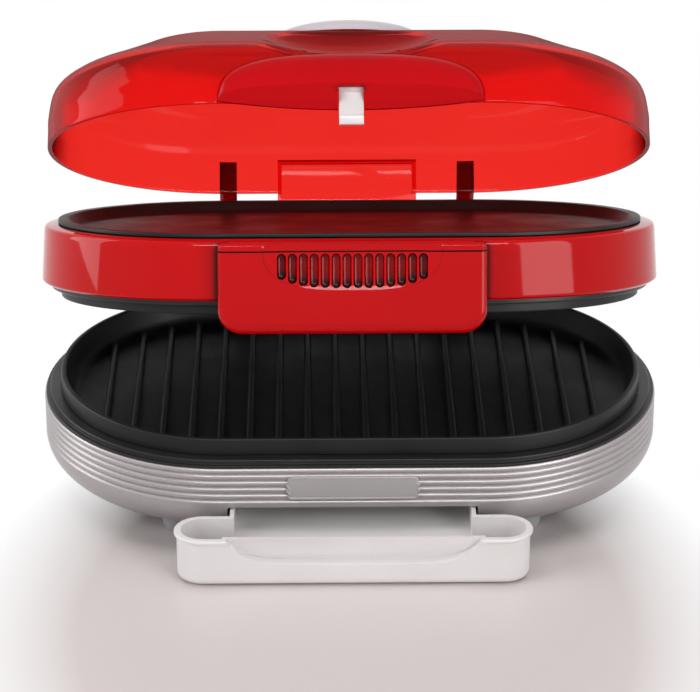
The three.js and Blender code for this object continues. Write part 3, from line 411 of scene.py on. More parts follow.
def spline(points, per_span):
    """A smooth curve through points (Catmull-Rom)."""
    ends = [points[0], *points, points[-1]]
    made = []
    for i in range(1, len(ends) - 2):
        p0, p1, p2, p3 = (Vector(ends[i + k]) for k in (-1, 0, 1, 2))
        for k in range(per_span):
            t = k / per_span
            even = 2 * p1 + (p2 - p0) * t
            bent = (2 * p0 - 5 * p1 + 4 * p2 - p3) * t**2 + (3 * p1 - p0 - 3 * p2 + p3) * t**3
            made.append(tuple((even + bent) / 2))
    made.append(tuple(points[-1]))
    return made


def swept(section, closed=True, steps=(END_STEPS, SIDE_STEPS)):
    """A section of (inset, height) points bent round the outline: vertices and faces."""
    rows = [[(x, y, height) for x, y in outline(inset, *steps)] for inset, height in section]
    return lofted(rows, closed)


def disc(section, corner):
    """A section from the middle out and back to the middle, rounded and bent round the outline."""
    return swept(rounded(section, corner, closed=False), closed=False)


def lofted(rows, closed=False):
    """Rings of points joined one to the next, and at the ends closed by flat faces."""
    around = len(rows[0])
    verts = [v for row in rows for v in row]
    faces = []
    last = len(rows) if closed else len(rows) - 1
    for r in range(last):
        low, high = r * around, ((r + 1) % len(rows)) * around
        for i in range(around):
            k = (i + 1) % around
            faces.append((low + i, low + k, high + k, high + i))
    if not closed:
        faces += [tuple(range(around))[::-1], tuple(range(len(verts) - around, len(verts)))]
    return verts, faces


def extruded(profile, low, high, place):
    """A closed profile run from low to high; place(u, v, along) gives each point."""
    return lofted([[place(u, v, along) for u, v in profile] for along in (low, high)])


def turned(profile, x, y, sides=48):
    """A profile of (radius, height) points turned about an upright axis, closed at its ends."""
    turns = full_turn(sides)
    return lofted([[(x + r * math.cos(a), y + r * math.sin(a), z) for a in turns] for r, z in profile])


def block(x, y, z):
    verts = [(a, b, c) for c in z for b in y for a in x]
    return verts, [(0, 2, 3, 1), (4, 5, 7, 6), (0, 1, 5, 4), (2, 6, 7, 3), (0, 4, 6, 2), (1, 3, 7, 5)]


def curve_through(a, b, c, steps):
    """Points on the curve from a to c that bends towards b, without a itself."""
    a, b, c = Vector(a), Vector(b), Vector(c)
    shares = [i / steps for i in range(1, steps + 1)]
    return [tuple(a * (1 - t) ** 2 + b * (2 * t * (1 - t)) + c * t**2) for t in shares]


def full_turn(sides):
    return [2 * math.pi * i / sides for i in range(sides)]


def quarter_turn(steps, start=0, quarters=1):
    """Angles over quarter turns, each in a number of steps, from a start in quarters."""
    return [(start + i / steps) * math.pi / 2 for i in range(quarters * steps + 1)]


def superarch(share, power):
    """The height of an arch at a share of its half width; a higher power makes it squarer."""
    return max(1 - abs(share) ** power, 0) ** (1 / power)


# Making pieces

BODY_OF = {node: body for body, nodes in frame["record"]["behaviour"]["bodies"].items() for node in nodes}
SLOT_OF = {row["node"]: row["material_slot"] for row in frame["record"]["subparts"]}


def as_shape(made):
    """An object's vertices and faces, to be cut with."""
    return [tuple(v.co) for v in made.data.vertices], [tuple(p.vertices) for p in made.data.polygons]


def added_object(name, data):
    made = bpy.data.objects.new(name, data)
    bpy.context.scene.collection.objects.link(made)
    return made


def mesh_object(name, shape):
    """An object with a shape's vertices and faces, cleaned and with its faces turned outwards."""
    verts, faces = shape
    mesh = bpy.data.meshes.new(name)
    mesh.from_pydata(verts, [], faces)
    bm = bmesh.new()
    bm.from_mesh(mesh)
    bmesh.ops.remove_doubles(bm, verts=bm.verts, dist=MERGED)
    bmesh.ops.dissolve_degenerate(bm, edges=bm.edges, dist=MERGED / 10)
    bmesh.ops.recalc_face_normals(bm, faces=bm.faces)
    bm.to_mesh(mesh)
    bm.free()
    return added_object(name, mesh)


def applied(made):
    """The object's mesh with its modifiers applied."""
    graph = bpy.context.evaluated_depsgraph_get()
    done = bpy.data.meshes.new_from_object(made.evaluated_get(graph))
    made.modifiers.clear()
    made.data = done
    return made


def boolean(made, tools, operation="DIFFERENCE"):
    """Cuts tools from an object, or joins them to it."""
    for shape in tools:
        tool = mesh_object("tool", shape)
        step = made.modifiers.new("cut", "BOOLEAN")
        step.object = tool
        step.operation = operation
        step.solver = "EXACT"
        applied(made)
        bpy.data.objects.remove(tool)
    return made


def bevelled(made, width, segments, angle):
    """Rounds the edges that turn more than an angle, given in degrees."""
    step = made.modifiers.new("edge", "BEVEL")
    step.width = width
    step.segments = segments
    step.limit_method = "ANGLE"
    step.angle_limit = math.radians(angle)
    step.harden_normals = False
    return applied(made)


def dressed(made, node, look=None, sharp=SHARP, drawn=True):
    """Puts a drawn object in its node's place, smooth and with its material, and replaces the node."""
    if drawn:
        made.data.transform(PLACE[BODY_OF[node]])
    made.data.polygons.foreach_set("use_smooth", [True] * len(made.data.polygons))
    made.data.set_sharp_from_angle(angle=sharp)
    made.data.materials.clear()
    made.data.materials.append(look or SLOT_LOOKS[SLOT_OF[node]])
    made.data.update()
    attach(made, BODY_OF[node])
    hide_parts(node)
    return made


# Materials

# Painted shade of the red plastic: within this reach of a hollow or gap, its red turns towards this dark
# red
HOLLOW_SHADE_REACH = 0.004  # in metres
HOLLOW_PAINTED_SHADE = (0.015, 0.0, 0.0)
SLANTED_RED = (0.36, 0.0, 0.002)
SLANTED_CLEAR = 0.35  # share of light that passes where the clear plastic is seen at a slant
DEEP_RED = (0.2, 0.0, 0.001)
DULL_SHARE = 0.88  # share of that red at the steepest slant


def fed(tree, node, inputs):
    """Sets a node's inputs: a socket is linked, a colour or a number is put in."""
    for name, value in inputs.items():
        if isinstance(value, bpy.types.NodeSocket):
            tree.links.new(value, node.inputs[name])
        elif node.inputs[name].type == "RGBA":
            node.inputs[name].default_value = (*value, 1)
        else:
            node.inputs[name].default_value = value
    return node


def added(tree, kind, inputs):
    return fed(tree, tree.nodes.new("ShaderNode" + kind), inputs)


def material(name):
    made = bpy.data.materials.new(name)
    made.use_nodes = True
    tree = made.node_tree
    return tree, tree.nodes["Principled BSDF"], made


def surfaced(tree, surface):
    tree.links.new(surface, tree.nodes["Material Output"].inputs["Surface"])


def noise_node(tree, scale, detail, roughness=0.5, stretch=None):
    source = added(tree, "TexCoord", {}).outputs["Object"]
    if stretch:
        source = added(tree, "Mapping", {"Scale": stretch, "Vector": source}).outputs["Vector"]
    sizes = {"Scale": scale, "Detail": detail, "Roughness": roughness}
    return added(tree, "TexNoise", {"Vector": source, **sizes}).outputs["Fac"]


def spread(tree, value, low, high, start=0.3, end=0.7):
    """A value that runs from start to end, as noise mostly does, spread to run from low to high."""
    ends = {"From Min": start, "From Max": end, "To Min": low, "To Max": high}
    return added(tree, "MapRange", {"Value": value, **ends}).outputs["Result"]


def blended(tree, share, first, second):
    """A mix of two colours."""
    mix = tree.nodes.new("ShaderNodeMix")
    mix.data_type = "RGBA"
    return fed(tree, mix, {"Factor": share, "A": first, "B": second}).outputs["Result"]


def layered(tree, share, first, second):
    """A mix of two shaders."""
    return added(tree, "MixShader", {"Fac": share, 1: first, 2: second}).outputs["Shader"]


def worked_out(tree, operation, first, second):
    step = added(tree, "Math", {0: first, 1: second})
    step.operation = operation
    return step.outputs["Value"]


def bumped(tree, shader, value, strength, distance):
    bump = added(tree, "Bump", {"Height": value, "Strength": strength, "Distance": distance})
    tree.links.new(bump.outputs["Normal"], shader.inputs["Normal"])


def plain(name, colours, cloud, rough, grain=None, metallic=0, specular=0.5):
    """A material whose colour and roughness drift with a soft noise, over a fine grain."""
    tree, shader, made = material(name)
    drift = noise_node(tree, *cloud)
    looks = {"Base Color": blended(tree, drift, *colours), "Roughness": spread(tree, drift, *rough)}
    fed(tree, shader, {**looks, "Metallic": metallic, "Specular IOR Level": specular})
    if grain:
        scale, detail, strength, depth = grain
        bumped(tree, shader, noise_node(tree, scale, detail), strength, depth)
    return made


def silver_plastic(name, colours, rough, metallic):
    """Silver paint: its flakes break up the gloss."""
    tree, shader, made = material(name)
    flakes = noise_node(tree, 2600, 1)
    paint = blended(tree, noise_node(tree, 30, 2), *colours)
    gloss = spread(tree, flakes, *rough)
    fed(tree, shader, {"Base Color": paint, "Roughness": gloss, "Metallic": metallic})
    bumped(tree, shader, flakes, 0.08, 0.00002)
    return made


def red_plastic():
    """Glossy red, with painted shade that darkens narrow hollows such as the flutes."""
    tree, shader, made = material("red_plastic")
    ripple = noise_node(tree, 22, 1)
    red = blended(tree, noise_node(tree, 12, 2), (0.42, 0.0, 0.001), (0.48, 0.0, 0.002))
    # painted shade: ambient occlusion darkens the red in narrow hollows and in the gaps between parts
    hollow = added(tree, "AmbientOcclusion", {"Distance": HOLLOW_SHADE_REACH, "Color": red})
    open_share = spread(tree, hollow.outputs["AO"], 0, 1, 0.6, 0.95)
    shaded = blended(tree, open_share, HOLLOW_PAINTED_SHADE, hollow.outputs["Color"])
    gloss = spread(tree, ripple, 0.05, 0.08)
    fed(tree, shader, {"Base Color": shaded, "Roughness": gloss, "Specular IOR Level": 0.15})
    bumped(tree, shader, ripple, 0.03, 0.0004)
    return made


def clear_red_plastic(name, colours, clear):
    """See-through red that gets deep and dull where it is seen at a slant."""
    tree, shader, made = material(name)
    slant = added(tree, "LayerWeight", {"Blend": 0.5}).outputs["Facing"]
    straight = blended(tree, noise_node(tree, 10, 2), *colours)
    looks = {
        "Base Color": blended(tree, spread(tree, slant, 0, 1, 0.45, 0.95), straight, SLANTED_RED),
        "Transmission Weight": spread(tree, slant, clear, SLANTED_CLEAR, 0.6, 0.95),
        "Roughness": 0.02,
        "IOR": 1.1,
        "Coat Weight": 0.08,
        "Coat Roughness": 0.02,
    }
    fed(tree, shader, looks)
    bumped(tree, shader, noise_node(tree, 16, 1), 0.02, 0.0003)
    deep = added(tree, "BsdfDiffuse", {"Color": DEEP_RED})
    dull = spread(tree, slant, 0, DULL_SHARE, 0.62, 0.94)
    surfaced(tree, layered(tree, dull, shader.outputs["BSDF"], deep.outputs["BSDF"]))
    return made


def pale_plastic(name, colours, rough):
    """Plastic that lets a little light into it."""
    made = plain(name, colours, (25, 2), rough, (900, 2, 0.05, 0.00002))
    tree = made.node_tree
    soft = {"Subsurface Weight": 0.1, "Subsurface Radius": (0.004, 0.003, 0.003)}
    fed(tree, tree.nodes["Principled BSDF"], soft)
    return made


def cast_black():
    colours = (0.006, 0.006, 0.006), (0.0114, 0.0111, 0.0108)
    return plain("cast_black", colours, (40, 3), (0.36, 0.5), (900, 4, 0.25, 0.00006), specular=0.2)


def black_plastic():
    colours = (0.01, 0.009, 0.009), (0.016, 0.015, 0.015)
    return plain("black_plastic", colours, (50, 3), (0.3, 0.42), (1500, 2, 0.12, 0.00003), specular=0.25)


def bare_steel():
    colours = (0.5, 0.5, 0.51), (0.62, 0.62, 0.63)
    return plain("bare_steel", colours, (400, 3, 0.5, (0.05, 1, 1)), (0.2, 0.36), metallic=1)


def grey_rubber():
    colours = (0.25, 0.25, 0.26), (0.31, 0.31, 0.32)
    return plain("grey_rubber", colours, (60, 3), (0.6, 0.75), (1200, 2, 0.2, 0.00004))


def grey_plastic():
    colours = (0.46, 0.4, 0.43), (0.52, 0.46, 0.49)
    return plain("grey_plastic", colours, (40, 2), (0.25, 0.35), metallic=0.35)


STEEL = bare_steel()
BADGE_SILVER = silver_plastic("badge_silver", ((0.36, 0.34, 0.34), (0.4, 0.38, 0.38)), (0.35, 0.47), 0.35)
HANDLE_RED = clear_red_plastic("handle_red", ((0.66, 0.002, 0.008), (0.72, 0.004, 0.012)), 0.6)
SLOT_LOOKS = {
    "silver_plastic": silver_plastic(
        "silver_plastic", ((0.31, 0.285, 0.29), (0.37, 0.34, 0.345)), (0.29, 0.41), 0.4
    ),
    "cast_black": cast_black(),
    "black_plastic": black_plastic(),
    "red_plastic": red_plastic(),
    "clear_red_plastic": clear_red_plastic(
        "clear_red_plastic", ((0.9, 0.024, 0.018), (0.95, 0.032, 0.024)), 0.93
    ),
    "pale_plastic": pale_plastic("pale_plastic", ((0.66, 0.63, 0.63), (0.72, 0.69, 0.69)), (0.28, 0.38)),
    "clip_white": pale_plastic("clip_white", ((0.62, 0.58, 0.58), (0.68, 0.64, 0.64)), (0.26, 0.36)),
    "grey_plastic": grey_plastic(),
    "bare_steel": STEEL,
    "reflector_sheet": STEEL,
    "grey_rubber": grey_rubber(),
}


# Base


def bowl(inset, height, from_inset):
    """The rounded underside, from the wall's foot in to the bottom."""
    power = SHELL["bowl_power"]
    points = []
    for angle in quarter_turn(SHELL["bowl_steps"])[1:]:
        across = inset * (1 - math.cos(angle) ** power)
        points.append((from_inset + across, SHELL["bowl_top"] - height * math.sin(angle) ** power))
    return points


def ribbed_wall():
    """The shell's upright wall with its rounded bands between grooves."""
    top, low = SHELL["top"], SHELL["bowl_top"]
    pitch = (top - low - SHELL["groove_margin"]) / SHELL["grooves"]
    points = [(inset, top - drop) for inset, drop in SHELL["edge"]]
    steps = SHELL["groove_steps"]
    start = top - SHELL["groove_margin"] + pitch / 4
    for i in range(SHELL["grooves"] * steps):
        share = i / steps
        z = start - share * pitch
        if z > top - SHELL["edge_room"]:
            continue
        dip = max(0.0, 1 - abs((share % 1) - 0.5) / SHELL["groove_share"])
        points.append((SHELL["groove_depth"] * dip ** SHELL["groove_power"], z))
    return points


def base_shell():
    wall = SHELL["wall"]
    floor = SHELL["bottom"] + wall
    low = SHELL["bowl_top"]
    outer = ribbed_wall() + [(0, low + SHELL["foot"]), (0, low)]
    outer += bowl(SHELL["bowl_inset"], low - SHELL["bottom"], 0)
    inner = [(wall, SHELL["top"]), (wall, low)]
    inner += bowl(SHELL["bowl_inset"] - wall, low - floor, wall)
    made = mesh_object("base_shell_skin", swept(outer + inner[::-1]))
    half, top, corner = TRAY_OPENING["half"], TRAY_OPENING["top"], TRAY_OPENING["corner"]
    window = rounded([(-half, floor), (half, floor), (half, top, corner), (-half, top, corner)], 0)
    back = FRONT + SHELL["bowl_inset"] + OVERRUN
    boolean(made, [extruded(window, FRONT - OVERRUN, back, lambda u, v, w: (u, w, v))])
    return dressed(made, "base_shell")


def base_collar():
    c = COLLAR
    foot = SHELL["top"] + GAP
    skirt = SHELL["wall"] + GAP
    under = c["flange_top"] - c["thickness"]
    section = [
        (c["band_inset"], foot),
        (c["band_inset"], foot + c["band_height"]),
        (c["flange_inset"], foot + c["band_height"]),
        (c["flange_inset"], c["flange_top"], c["edge"]),
        (c["inner_inset"], c["flange_top"]),
        (c["inner_inset"], under),
        (skirt + c["skirt_wall"], under),
        (skirt + c["skirt_wall"], foot - c["skirt"]),
        (skirt, foot - c["skirt"]),
        (skirt, foot),
    ]
    return dressed(mesh_object("base_collar_ring", swept(rounded(section, c["corner"]))), "base_collar")


def rib_bars(plate, root, crest):
    """Cast ribs from front to back, rounded on top and sloped at their ends."""
    base, top = plate["rib_base"] / 2, plate["rib_crest"] / 2
    profile = rounded([(-base, root, 0), (base, root, 0), (top, crest), (-top, crest)], RIB_CORNER)
    bars = []
    for i in range(plate["ribs"]):
        x = (i - (plate["ribs"] - 1) / 2) * plate["rib_pitch"]
        half = half_depth(x, plate["floor_inset"]) - plate["rib_gap"]

        def sloped(u, v, w):
            return (x + u, w - math.copysign(RIB_SLOPE * abs(v - root), w), v)

        bars.append(extruded(profile, -half, half, sloped))
    return bars


def lower_plate():
    p = LOWER_PLATE
    rim_outer = p["outer_inset"] + p["rim_lean"]
    seat = COLLAR["flange_top"] + GAP
    floor, under = p["floor_top"], p["floor_top"] - p["floor"]
    crest = floor + p["rib_height"]
    foot = p["floor_inset"] - p["rim_width"]
    section = [
        (AXIS, floor),
        (p["floor_inset"], floor, p["floor_round"]),
        (foot, crest, p["foot_round"]),
        (rim_outer + p["rim_width"], p["rim_top"], p["rim_round"]),
        (rim_outer, p["rim_top"], p["rim_round"]),
        (p["outer_inset"], seat, p["seat_round"]),
        (p["basin_inset"], seat, p["seat_round"]),
        (p["basin_inset"], floor),
        (foot, under, p["foot_round"]),
        (AXIS, under),
    ]
    basin = mesh_object("lower_plate_casting", disc(section, p["corner"]))
    boolean(basin, rib_bars(p, under + p["root"], crest), "UNION")
    hole = [(p["drain_radius"], under - OVERRUN), (p["drain_radius"], crest + OVERRUN)]
    boolean(basin, [turned(hole, 0, -p["drain_front"])])
    return dressed(basin, "lower_grill_plate", sharp=BLUNT)


def feet():
    f = FOOT
    section = [(0, 0), (f["radius"], 0, f["round"]), (f["top_radius"], f["height"], f["top_round"])]
    profile = rounded([*section, (0, f["height"])], 0, closed=False)
    for depth, end in ((-1, "front"), (1, "rear")):
        for side, word in ((-1, "left"), (1, "right")):
            node = f"foot_{end}_{word}"
            pad = turned(profile, side * f["across"], depth * f["along"])
            dressed(mesh_object(node + "_pad", pad), node)


# Middle body


def upper_housing():
    u = UPPER
    top, low = u["top"], u["bottom"]
    drop, ledge = u["shoulder_drop"], u["top"] - u["ledge"]
    section = [
        (u["chamfer"], low, u["chamfer_round"]),
        (0, low + u["chamfer_height"], u["foot_round"]),
        (u["flare"], top - drop, u["shoulder_round"]),
        (u["flare"] + u["bend"], top - drop * u["bend_share"], u["bend_round"]),
        (u["shoulder_inset"], top, u["shoulder_round"]),
        (u["ledge_inset"], top),
        (u["ledge_inset"], ledge),
        (u["flare"] + 2 * u["wall"], ledge),
        (u["flare"] + u["wall"], ledge - drop),
        (u["wall"] + u["bend"], low + 2 * u["chamfer_height"]),
        (MIDDLE_COLLAR["outer_inset"] - GAP, low),
    ]
    skin = swept(rounded(section, u["corner"], steps=u["corner_steps"]))
    return dressed(mesh_object("upper_housing_skin", skin), "upper_housing")


def bun_tray():
    b = BUN_TRAY
    low = UPPER["top"] + GAP
    high = low + b["rim_height"]
    floor = UPPER["top"] - b["floor_drop"] + b["sheet"]
    neck = UPPER["ledge_inset"] + GAP
    section = [
        (AXIS, floor),
        (b["floor_inset"], floor, b["sheet"]),
        (b["rim_inner"], high, b["rim_round"]),
        (b["outer_inset"], high, b["rim_round"]),
        (b["outer_inset"], low, b["rest_round"]),
        (neck, low, b["neck_round"]),
        (neck, floor, b["foot_round"]),
        (b["floor_inset"] - b["sheet"] / 2, floor - b["sheet"]),
        (AXIS, floor - b["sheet"]),
    ]
    return dressed(mesh_object("bun_tray_casting", disc(section, b["corner"])), "bun_tray")


def middle_collar():
    c = MIDDLE_COLLAR
    low, high = UPPER["bottom"] - c["drop"], UPPER["bottom"] + c["rise"]
    outer, inner = c["outer_inset"], c["inner_inset"]
    section = [(outer, high), (outer, low, c["edge"]), (inner, low), (inner, high)]
    return dressed(mesh_object("middle_collar_ring", swept(rounded(section, c["corner"]))), "middle_collar")


def upper_plate():
    p = UPPER_PLATE
    floor = UPPER["bottom"] - p["floor_drop"]
    low = UPPER["bottom"] - p["rim_drop"]
    high = UPPER["bottom"] + p["flange_rise"]
    back = floor + p["floor"]
    section = [
        (AXIS, back),
        (p["flange_inset"], back),
        (p["flange_inset"], high),
        (p["outer_inset"], high),
        (p["outer_inset"], low, p["rim_round"]),
        (p["outer_inset"] + p["rim_width"], low, p["rim_round"]),
        (p["floor_inset"], floor, p["floor_round"]),
        (AXIS, floor),
    ]
    made = mesh_object("upper_plate_casting", disc(section, p["corner"]))
    boolean(made, rib_bars(p, floor + p["floor"] / 2, floor - p["rib_height"]), "UNION")
    return dressed(made, "upper_grill_plate", sharp=BLUNT)


# Lid


def dome_profile():
    points = [(share * LID["shoulder"], height * LID["height"]) for share, height in DOME_SHARES]
    return [(max(inset, 0), height) for inset, height in spline(points, SPLINE_STEPS)]


def recess_push(point, grow):
    """How a point of the dome moves back and down into the handle's recess."""
    radii = [r + grow for r in RECESS["radii"]]
    blend = RECESS["blend"]
    span = RECESS["span"] * blend
    angle = math.radians(RECESS["angle"])
    way = Vector((0, math.cos(angle), -math.sin(angle)))
    q = Vector([(p - c) / r for p, c, r in zip(point, RECESS["centre"], radii)])
    w = Vector([d / r for d, r in zip(way, radii)])
    a, b, c = w.dot(w), q.dot(w), q.dot(q) - 1
    if c < 0:
        reach = (-b + math.sqrt(b * b - a * c)) / a
    else:
        slope = b / math.sqrt(c + 1)
        if slope <= 0:
            return way * 0
        reach = -(math.sqrt(c + 1) - 1) / slope
    if reach < -span:
        return way * 0
    edge = math.sqrt(span**2 + blend**2) - span
    return way * max((reach + math.sqrt(reach**2 + blend**2) - edge) / 2, 0)


def dome_rows(section, grow):
    """Rings of the dome with the recess pushed in, grown by the wall for the inner rings."""
    rows = []
    for inset, height in section:
        points = [Vector((x, y, height)) for x, y in outline(inset, *DOME_STEPS)]
        rows.append([tuple(point + recess_push(point, grow)) for point in points])
    return rows


def dome_sections():
    outer = [(inset + LID["inset"], height + LID["rim"]) for inset, height in dome_profile()]
    inner = []
    wall = LID["wall"]
    for i, (inset, height) in enumerate(outer):
        before = Vector(outer[max(i - 1, 0)])
        after = Vector(outer[min(i + 1, len(outer) - 1)])
        along = (after - before).normalized()
        inner.append((inset + along.y * wall, max(height - along.x * wall, LID["rim"])))
    return [(min(i, AXIS), h) for i, h in outer], [(min(i, AXIS), h) for i, h in inner]


def lid_dome():
    outer, inner = dome_sections()
    edge = LID["rim_round"]
    lip = rounded([outer[1], outer[0], inner[0], inner[1]], edge, closed=False)[1:-1]
    rows = dome_rows(outer[:1:-1], 0) + dome_rows(lip, 0) + dome_rows(inner[2:], LID["wall"])
    made = mesh_object("lid_dome_shell", lofted(rows))
    w = LID_WINDOW
    window = block((-w["half"], w["half"]), (w["front"], REAR + OVERRUN), (LID["rim"] - OVERRUN, w["top"]))
    boolean(made, [window])
    return dressed(made, "lid_dome")


def grip_section(share, wall):
    """A closed section of the lid's handle at a share of its half width, or of its hollow with a wall."""
    g, rim = GRIP, LID["rim"]
    proud = (g["proud"] - wall) * superarch(share, g["plan_power"])
    low_end = rim + GAP + wall
    high = max(rim + (g["height"] - wall) * superarch(share, g["view_power"]), low_end + 5 * SLIVER)
    nose = min(rim + g["nose"] * superarch(share, g["nose_power"]), high - 2 * SLIVER)
    nose = max(nose, (low_end if wall else rim) + SLIVER)
    wall_line = FRONT + LID["inset"]
    face = wall_line - proud
    back = wall_line + g["root"] + (OVERRUN if wall else 0)
    points = [(back, high)]
    for angle in quarter_turn(g["steps"])[::-1]:
        y = wall_line - proud * math.cos(angle) ** (2 / g["crown_power"])
        points.append((y, nose + (high - nose) * math.sin(angle) ** (2 / g["crown_power"])))
    if wall:
        low = rim - g["cavity_drop"]
        return points + [(max(face + g["cavity_front"], g["lip_back"]), low), (back, low)]
    lip_front = max(face + g["lip_step"], g["lip_front"])
    lip_back = max(lip_front + g["lip_least"], g["lip_back"])
    low = rim - g["sag"] * (1 - share**2)
    for i in range(1, g["lip_steps"]):
        t = i / g["lip_steps"]
        points.append((face + (lip_front - face) * t, nose + (low - nose) * t))
    return points + [(lip_front, low), (lip_back, low), (lip_back, low_end), (back, low_end)]


def grip_rows(wall):
    rows = []
    columns = GRIP["columns"]
    for i in range(-columns, columns + 1):
        share = GRIP["end_share"] * math.copysign(1 - (1 - abs(i) / columns) ** GRIP["column_power"], i)
        x = share * (GRIP["half"] - wall)
        rows.append([(x, y, z) for y, z in grip_section(share, wall)])
    return rows


def dome_room(gap):
    """What the lid takes up, with a gap round it, as a tool."""
    outer, _ = dome_sections()
    low = LID["rim"] - GRIP["sag"] - OVERRUN
    section = [(AXIS, low), (LID["inset"] - gap, low)]
    section += [(inset - gap, height + gap) for inset, height in outer]
    return swept(section, closed=False, steps=DOME_STEPS)


def lid_handle():
    g, rim = GRIP, LID["rim"]
    wall_line = FRONT + LID["inset"]
    made = mesh_object("lid_handle_shell", lofted(grip_rows(0)))
    half = CLIP_PIECE["half"] + g["slot_side"]
    slot_top = CLIP_PIECE["pivot_z"] - g["slot_drop"]
    slot = block(
        (-half, half), (wall_line - g["proud"] - OVERRUN, wall_line), (rim - g["sag"] - OVERRUN, slot_top)
    )
    boolean(made, [dome_room(GAP), lofted(grip_rows(g["wall"])), slot])
    bevelled(made, *g["bevel"])
    return dressed(made, "lid_handle", HANDLE_RED, g["sharp"])


def lid_medallion():
    m = MEDALLION
    turns = full_turn(m["sides"])
    rows = []
    shares = [(math.cos(a), math.sin(a)) for a in quarter_turn(m["rings"])[:-1]] + [(m["tip_share"], 1)]
    for across, up in shares:
        half, depth, z = across * m["half_width"], across * m["half_depth"], m["low"] + m["rise"] * up
        rows.append([(half * math.cos(turn), m["y"] + depth * math.sin(turn), z) for turn in turns])
    made = mesh_object("lid_medallion_cap", lofted(rows))
    boolean(made, [dome_room(GAP)])
    return dressed(made, "lid_medallion")


# Front handle


def fillet_of(normal_z):
    """The tongue's edge radius: large below, small above and at the sides."""
    t = TONGUE
    if normal_z < 0:
        share = (-normal_z) ** t["fillet_power"]
        return t["side_fillet"] + (t["lower_fillet"] - t["side_fillet"]) * share
    return t["side_fillet"] + (t["upper_fillet"] - t["side_fillet"]) * normal_z


def plate_outline():
    """Points (x, z) and outward normals round the tongue, seen from the front."""
    t = TONGUE
    low, high = t["lower_corner"], t["upper_corner"]
    corners = [(1, -1, t["low"] + low, low), (1, 0, t["top"] - high, high)]
    corners += [(-1, 1, t["top"] - high, high), (-1, 2, t["low"] + low, low)]
    points = []
    for side, start, z, radius in corners:
        for angle in quarter_turn(t["corner_steps"], start):
            nx, nz = math.cos(angle), math.sin(angle)
            points.append((side * (t["half"] - radius) + radius * nx, z + radius * nz, nx, nz))
    return points


def tongue_skin():
    t = TONGUE
    rows = []
    for angle in quarter_turn(t["fillet_steps"]):
        row = []
        for x, z, nx, nz in plate_outline():
            radius = fillet_of(nz)
            inset = radius * (1 - math.sin(angle))
            row.append((x - nx * inset, t["face"] + radius * (1 - math.cos(angle)), z - nz * inset))
        rows.append(row)
    rows.append([(x, t["back"], z) for x, z, _, _ in plate_outline()])
    return lofted(rows)


def scoop():
    """The shallow hollow round the flutes, as a tool that is cut from the tongue."""
    t = TONGUE
    bend = 2 / t["scoop_power"]
    rows = []
    for share in t["scoop_shares"]:
        away = max((share - t["scoop_flat"]) / (1 - t["scoop_flat"]), 0)
        y = t["face"] + t["scoop_step"] + t["scoop_depth"] * (1 - away**2)
        row = []
        for turn in full_turn(t["scoop_sides"]):
            c, n = math.cos(turn), math.sin(turn)
            x = t["scoop_half"] * share * math.copysign(abs(c) ** bend, c)
            row.append((x, y, t["top"] + t["scoop_height"] * share * math.copysign(abs(n) ** bend, n)))
        rows.append(row)
    return lofted([[(x, t["face"] - OVERRUN, z) for x, y, z in rows[0]], *rows])


def flute_tools():
    """Rods with round ends, standing in the hollow and flattened to the flutes' depth."""
    t = TONGUE
    radius = t["flute_radius"]
    level = t["face"] + t["scoop_depth"]

    def placed(u, v, w):
        if v > TINY:
            return (u, level + v * t["flute_depth"] / radius, w)
        return (u, level + v - OVERRUN * (v < -TINY), w)

    tools = []
    for i in range(t["flutes"]):
        x = (i - (t["flutes"] - 1) / 2) * t["flute_pitch"]
        reach = (t["scoop_height"] - t["flute_foot"]) * superarch(x / t["scoop_half"], t["scoop_power"])
        turns = quarter_turn(t["flute_steps"])
        end = [(max(radius * math.sin(a), SLIVER), radius * (1 - math.cos(a))) for a in turns]
        profile = [(r, t["top"] - reach + z) for r, z in end]
        profile += [(r, t["flute_top"] - z) for r, z in end[::-1]]
        verts, faces = turned(profile, x, 0, t["flute_sides"])
        tools.append(([placed(*v) for v in verts], faces))
    return tools


def housing_room():
    """What the red housing takes up, with a gap round it, as a tool."""
    u, high = UPPER, TONGUE["top"] + OVERRUN
    low = u["bottom"]
    section = [
        (AXIS, low - GAP),
        (u["chamfer"] - GAP, low - GAP),
        (-GAP, low + u["chamfer_height"]),
        (-GAP, low + 2 * u["chamfer_height"]),
        (u["flare"] - GAP, u["top"] - u["shoulder_drop"]),
        (u["flare"] - GAP, high),
        (AXIS, high),
    ]
    return swept(section, closed=False)


def front_handle():
    t = TONGUE
    face, top, wall, half = t["face"], t["top"], t["wall"], t["half"]
    low, back, high = UPPER["bottom"], t["back"] + OVERRUN, top + OVERRUN
    slot_half = CLIP_PIECE["half"] + t["slot_side"]
    groove = t["groove_half"]
    tools = [
        housing_room(),
        block((2 * wall - half, half - 2 * wall), (face + t["hollow"], back), (low + wall, top - 3 * wall)),
        block(
            (-half - OVERRUN, half + OVERRUN),
            (FRONT - GAP, back),
            (t["low"] - OVERRUN, low + UPPER["chamfer_height"]),
        ),
        block((-groove, groove), (t["groove_front"], back), (top - 2 * wall, high)),
        block((-slot_half, slot_half), (t["groove_front"], FRONT), (top - 5 * wall, high)),
        block(
            (-half - OVERRUN, half + OVERRUN),
            (face - OVERRUN, face + t["seam_depth"]),
            (t["seam_low"], t["seam_high"]),
        ),
        scoop(),
    ]
    made = boolean(mesh_object("front_handle_tongue", tongue_skin()), tools + flute_tools())
    return dressed(made, "front_handle", sharp=t["sharp"])


# Drip tray


def stadium(half, front, back, steps=20):
    """Points round a bar with half-round ends."""
    radius = (back - front) / 2
    middle = (front + back) / 2
    points = []
    for side, start in ((1, -1), (-1, 1)):
        x = side * (half - radius)
        for angle in quarter_turn(steps, start, quarters=2):
            points.append((x + radius * math.cos(angle), middle + radius * math.sin(angle)))
    return points


